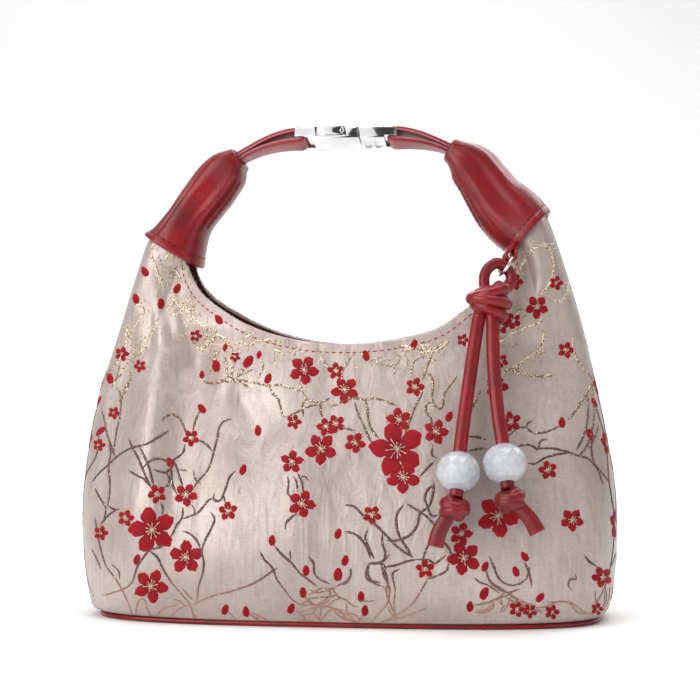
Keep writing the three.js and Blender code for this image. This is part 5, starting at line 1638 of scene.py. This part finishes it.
# The sides carry the same pattern: places across and up, in millimetres, as seen from a side.
SIDE_BRANCHES = [
    [(-26, 8), (-18, 22), (-12, 38), (-14, 54), (-8, 68), (-9, 84)],
    [(-12, 38), (-4, 46), (2, 58), (1, 70)], [(-18, 22), (-8, 26), (4, 24), (14, 30)],
    [(24, 6), (18, 20), (20, 36), (12, 50), (10, 64), (4, 78)], [(18, 20), (8, 14), (0, 8)],
    [(20, 36), (26, 46), (24, 58)], [(12, 50), (4, 54)], [(-14, 54), (-20, 62), (-17, 72)],
    [(-8, 68), (-2, 78), (-4, 92), (2, 104), (0, 118)], [(-4, 92), (-9, 100), (-8, 110)],
    [(2, 104), (6, 112), (4, 124)],
]
SIDE_BLOSSOMS = [
    (-12, 38, 5.5, 10), (2, 60, 5, 40), (14, 31, 4, 0), (-8, 69, 4.4, 20), (11, 64, 3.6, 50),
    (-2, 91, 3.6, 10), (3, 24, 3, 30), (18, 12, 4.6, 15), (2, 108, 2.8, 0), (-3, 10, 3.2, 20),
]
SIDE_BUDS = [(-17, 73, 1.6), (4, 79, 1.6), (4, 125, 1.4), (-9, 85, 1.5), (8, 15, 1.5), (1, 71, 1.5)]
branch_count = sum(len(chart["branches"]) for chart in BRANCH_CHARTS.values())
print(branch_count, "branches,", len(BLOSSOM_CHART), "blossoms,", len(BUD_CHART), "buds")

# %% [markdown]
# ## Finding the cloth behind a chart
# A line of sight runs from the camera through a place in the front view until it meets the cloth. The
# pattern then lies on the folds as woven figures do. The back takes the same pattern the other way
# round: each place found on the front is moved across and dropped on the back panel.

# %% Landing places on the panels
def panel_tree(panel):
    grid = FACES[panel]
    faces = grid_faces(*grid.shape[:2], False, False, False)
    return BVHTree.FromPolygons([Vector(p) for p in (grid.reshape(-1, 3) * MM).tolist()], faces)


TREES = {panel: panel_tree(panel) for panel in FACES}
BACK_SHARE = 0.985  # the back's pattern is narrower by this much, to keep it off the side seams
EYE = Vector(camera.location)
MIDDLE_PIXEL = PHOTO_PIXELS / 2


def on_front(place):
    across, down = place
    sight = AHEAD * VIEW_DISTANCE + RIGHT * (across - MIDDLE_PIXEL) * PIXEL
    sight.z -= (down - MIDDLE_PIXEL) * PIXEL
    spot, normal, _, _ = TREES["front"].ray_cast(EYE, sight.normalized())
    return None if spot is None else (spot, normal if normal.y < 0 else -normal)


def on_back(place):
    front = on_front(place)
    if front is None:
        return None
    start = Vector((-front[0].x * BACK_SHARE, 0.3, front[0].z))
    spot, normal, _, _ = TREES["back"].ray_cast(start, Vector((0, -1, 0)))
    return None if spot is None else (spot, normal if normal.y > 0 else -normal)


def on_side(side):
    """Lands places given across and up, in millimetres, as seen from a side."""
    def land(place):
        start, way = Vector((side * 0.3, place[0] * MM, place[1] * MM)), Vector((-side, 0, 0))
        hits = [tree.ray_cast(start, way) for tree in TREES.values()]
        hits = [hit for hit in hits if hit[0] is not None]
        if not hits:
            return None
        spot, normal = min(hits, key=lambda hit: hit[3])[:2]
        return spot, normal if normal.x * side > 0 else -normal
    return land


LAND = {"front": on_front, "back": on_back, "left side": on_side(-1), "right side": on_side(1)}


def landed_runs(panel, places):
    """Runs of (spot, normal) in millimetres, broken where a place misses the panel or jumps."""
    runs, run = [], []
    for place in places:
        hit = LAND[panel](place)
        if hit is not None and run and (hit[0] / MM - Vector(run[-1][0])).length > 5:
            hit = None
        if hit is None:
            runs.append(run)
            run = []
        else:
            run.append((np.array(hit[0]) / MM, np.array(hit[1])))
    return [r for r in (*runs, run) if len(r) > 2]


def thread_grid(run, widths, rise):
    """A low, domed ribbon along a run of places on the cloth."""
    line, outs = np.array([r[0] for r in run]), np.array([r[1] for r in run])
    ahead = np.gradient(line, axis=0)
    side = np.cross(outs, ahead)
    side /= np.maximum(np.linalg.norm(side, axis=1), 1e-9)[:, None]
    profile = [(-0.5, -0.12), (-0.36, 0.75), (0, 1), (0.36, 0.75), (0.5, -0.12)]
    return np.stack([line + side * (x * widths)[:, None] + outs * (0.02 + rise * y) for x, y in profile], 1)


print("sight through the middle meets the cloth at", np.round(np.array(on_front((350, 400))[0]) * 1000, 1))

# %% [markdown]
# ## Weaving the branches
# Each branch is laid as a low ribbon of thread, wider where it leaves an older branch and thin at its
# tip, with the small steps that weaving gives a slanting line. High on the bag the branches are closer
# and throw off short gold curls, so short curls are added beside them there. Near the foot the threads
# are finer.

# %% Branches and gold curls
random.seed(7)
STEP_PIXELS = 1.6
CURL_LINE = 372  # curls are woven above this height in the front view
FINE_AT_FOOT = (8, 28), (0.62, 1)  # heights in millimetres, and a thread's share of its width there


def chart_lines():
    for chart in BRANCH_CHARTS.values():
        corner = np.array(chart["corner"], float)
        for branch in chart["branches"]:
            line = corner + np.array(branch, float) / chart["enlarged"]
            count = max(6, int(length_of(line) / STEP_PIXELS))
            yield smooth_line(line, count) if len(line) > 2 else np.linspace(line[0], line[1], count)


def curls(line):
    """Short curls beside a branch, for the gold part of the pattern."""
    for place in line[::4]:
        if place[1] < CURL_LINE and random.random() < 0.9:
            start, turn, bend = random.uniform(0, 360), random.choice((-1, 1)), random.uniform(4, 20)
            curl, heading = [place + np.array([random.uniform(-7, 7), random.uniform(-7, 7)])], start
            for _ in range(random.randint(6, 12)):
                turned = math.radians(heading)
                curl.append(curl[-1] + 1.1 * np.array([math.cos(turned), math.sin(turned)]))
                heading += turn * bend
            yield np.array(curl)


LINES = list(chart_lines())
CURLS = [curl for line in LINES for curl in curls(line)]
TWIGS = [curl for line in LINES[::2] for curl in curls(line)]


def woven_lines(panel, name, lines, width, rise, material):
    grids = []
    for line in lines:
        for run in landed_runs(panel, line):
            from_start = np.arange(len(run)) + 1
            taper = np.minimum(1, np.minimum(from_start, from_start[::-1]) / 4)
            rough = np.array([random.uniform(0.72, 1.2) for _ in run])
            slim = np.interp([spot[2] for spot, _ in run], *FINE_AT_FOOT)
            grids.append(thread_grid(run, width * rough * taper * slim, rise))
    piece = merged(name, grids, close_columns=False)
    return finish_piece(piece, material, "brocade")


for panel in FACES:
    branches = woven_lines(panel, f"{panel}_branches", LINES, 1.02, 0.25, BRANCH)
    gold = woven_lines(panel, f"{panel}_curls", CURLS, 0.42, 0.18, GOLD)
    woven_lines(panel, f"{panel}_twigs", TWIGS, 0.5, 0.16, BRANCH)
    print(panel, "branches", len(branches.data.polygons), "curls", len(gold.data.polygons), "faces")

SIDE_LINES = [smooth_line(line, max(8, int(length_of(np.array(line, float)) / 0.65))) for line in SIDE_BRANCHES]
for name in SLEEVES:
    woven_lines(f"{name} side", f"{name}_side_branches", SIDE_LINES, 1.02, 0.25, BRANCH)

# %% [markdown]
# ## Blossoms and buds
# A plum blossom has five round petals, gold stamens and lengths of gold outline. The outline is a radius
# that changes with the angle. Rings of points inside it are dropped on the cloth, and each petal stands
# up a little in its middle, as dense satin stitches do.

# %% Blossoms, buds and stamens
WIDEST_SPREAD = 6.5  # a blossom that lands wider than this many radii has fallen over an edge


def petal_reach(angle, jag):
    """Radius as a share, for an angle from the first petal's middle."""
    lobe = abs(math.cos(2.5 * angle))
    return 0.5 + 0.56 * lobe**0.52 + 0.07 * lobe**9 + jag


def bud_reach(angle, jag):
    """A bud is a pointed oval."""
    return 0.95 + 0.42 * abs(math.cos(angle)) ** 3 + 0.22 * max(0, math.cos(angle)) ** 8 + jag


def blossom_grid(panel, across, down, radius, turn, outline, rings, around):
    """A blossom's grid on the cloth, and each point's darkening (dark heart and painted shade); None where it
    misses.
    """
    jags = [random.uniform(-0.06, 0.06) for _ in range(around // 2)]
    rows, heart_and_gap_shades = [], []
    for ring in range(rings + 1):
        share = max(0.02, ring / rings)
        row, heart_and_gap_shade = [], []
        for k in range(around):
            angle = 2 * math.pi * k / around
            reach = outline(angle, jags[k // 2]) * radius * share
            heading = angle + math.radians(turn)
            hit = LAND[panel]((across + reach * math.cos(heading), down + reach * math.sin(heading)))
            if hit is None:
                return None
            lobe = abs(math.cos(2.5 * angle))
            dome = 0.32 * math.sin(math.pi * share) ** 0.6 * (0.45 + 0.55 * lobe)
            rise = 0.06 + dome if ring < rings else -0.1
            row.append(np.array(hit[0]) / MM + np.array(hit[1]) * rise)
            # Darker towards the middle, partly the blossom's own dark heart and partly painted shade, and painted
            # shade between the petals.
            heart_and_gap_shade.append(min(1, 0.95 * (1 - share) ** 1.2 + 0.8 * (1 - lobe) ** 3 * share))
        rows.append(row)
        heart_and_gap_shades.append(heart_and_gap_shade)
    grid = np.array(rows)
    unit_length = 1 if panel.endswith("side") else PIXEL / MM
    if np.linalg.norm(grid[-1].max(0) - grid[-1].min(0)) > radius * unit_length * WIDEST_SPREAD:
        return None
    return grid, np.array(heart_and_gap_shades)


def flowers(panel, blossoms, buds):
    grids, heart_and_gap_shades, gold = [], [], []
    chart = [(*row, True) for row in blossoms]
    chart += [(*row, random.uniform(-130, -50), False) for row in buds]
    for across, down, radius, turn, open_flower in chart:
        rings, around = (7, 80) if open_flower and radius > 3 else (4, 40)
        outline = petal_reach if open_flower else bud_reach
        made = blossom_grid(panel, across, down, radius, turn, outline, rings, around)
        if made is None:
            continue
        grids.append(made[0])
        heart_and_gap_shades.append(made[1] if open_flower else made[1] * 0.4)
        if open_flower:
            gold += flower_gold(panel, across, down, radius, turn)
    piece = merged(f"{panel.replace(' ', '_')}_blossoms", grids)
    # Darker towards each blossom's middle, partly its own heart and partly painted shade, with painted shade between
    # petals; buds get less of it.
    heart_and_gap_shade = piece.data.attributes.new("heart_and_gap_shade", "FLOAT", "POINT")
    heart_and_gap_shade.data.foreach_set("value", np.concatenate([s.reshape(-1) for s in heart_and_gap_shades]))
    finish_piece(piece, PETAL, "brocade")
    stamens = merged(f"{panel.replace(' ', '_')}_stamens", gold, close_columns=False)
    finish_piece(stamens, GOLD, "brocade")
    return piece, stamens


def flower_gold(panel, across, down, radius, turn):
    """Stamens from the middle, and lengths of outline round the petals."""
    found, dome = [], 0.3
    count = 10 if radius > 7 else 5
    for k in range(count):
        heading = math.radians(turn + 360 * (k + 0.5) / count + random.uniform(-9, 9))
        reach = radius * random.uniform(0.2, 0.48)
        steps = np.linspace(0.05, 1, 7) * reach
        places = [(across + t * math.cos(heading), down + t * math.sin(heading)) for t in steps]
        for run in landed_runs(panel, places):
            raised = [(spot + out * dome, out) for spot, out in run]
            widths = np.interp(np.linspace(0, 1, len(run)), [0, 0.75, 0.9, 1], [0.3, 0.22, 0.6, 0.35])
            found.append(thread_grid(raised, widths, 0.12))
    for petal in random.sample(range(5), 3):
        low, high = random.uniform(-32, -8), random.uniform(4, 32)
        places = []
        for degrees in np.linspace(low, high, 12):
            angle = math.radians(72 * petal + degrees)
            reach, heading = (petal_reach(angle, 0) + 0.02) * radius, angle + math.radians(turn)
            places.append((across + reach * math.cos(heading), down + reach * math.sin(heading)))
        found += [thread_grid(run, np.full(len(run), 0.26), 0.14) for run in landed_runs(panel, places)]
    return found


charts = {panel: (BLOSSOM_CHART, BUD_CHART) for panel in FACES}
charts |= {f"{name} side": (SIDE_BLOSSOMS, SIDE_BUDS) for name in SLEEVES}
for panel, chart in charts.items():
    blossoms, stamens = flowers(panel, *chart)
    print(panel, "blossoms", len(blossoms.data.polygons), "stamens", len(stamens.data.polygons), "faces")

# %% [markdown]
# ## The rim's stitches
# The rim is turned in and held by a row of red stitches three millimetres below its edge. The row ends
# under the sleeves' hems. Loose ends of weft stand along the edge itself.

# %% Rim stitches
RIM_STITCH_DROP, RIM_STITCH_PITCH = 3.0, 2.7  # millimetres
FIBRES = 700


def rim_stitches(panel):
    face, out = FACES[panel], NORMALS[panel]
    line, outs = [], []
    for column in np.nonzero(np.abs(SHARES) < HORN_START)[0]:
        down = face[::-1, column]
        travelled = distances(down)
        row = int(np.searchsorted(travelled, RIM_STITCH_DROP))
        t = (RIM_STITCH_DROP - travelled[row - 1]) / (travelled[row] - travelled[row - 1])
        line.append(lerp(down[row - 1], down[row], t))
        outs.append(out[::-1, column][row])
    stitches = stitch_row(np.array(line), np.array(outs), RIM_STITCH_PITCH, 0.6, 0.55, 0.02)
    return place_all(stitches, f"{panel}_rim_stitches", RED_THREAD, "brocade")


def rim_fray(panel):
    """Loose ends of weft along the raw edge of the rim."""
    face, out = FACES[panel], NORMALS[panel]
    columns = np.nonzero(np.abs(SHARES) < HORN_START + 0.02)[0]
    fibres = []
    for _ in range(FIBRES):
        k = random.uniform(columns[0], columns[-1] - 1)
        j, t = int(k), k % 1
        edge, way = lerp(face[-1, j], face[-1, j + 1], t), out[-1, j]
        start = edge - way * random.uniform(0, CLOTH_THICKNESS) + UP * 0.5
        lean = unit([random.uniform(-1, 1), random.uniform(-0.5, 0.5), random.uniform(0.1, 0.7)])
        end = start + lean * random.uniform(0.3, 1.0)
        fibres.append(spindle(start, end, way, random.uniform(0.1, 0.2), 3))
    thread = RED_THREAD if panel == "back" else BROCADE
    return place_all(fibres, f"{panel}_rim_fray", thread, "brocade")


for panel in FACES:
    rim_fray(panel)
    print(panel, "rim stitches:", len(rim_stitches(panel).data.polygons) // 26)
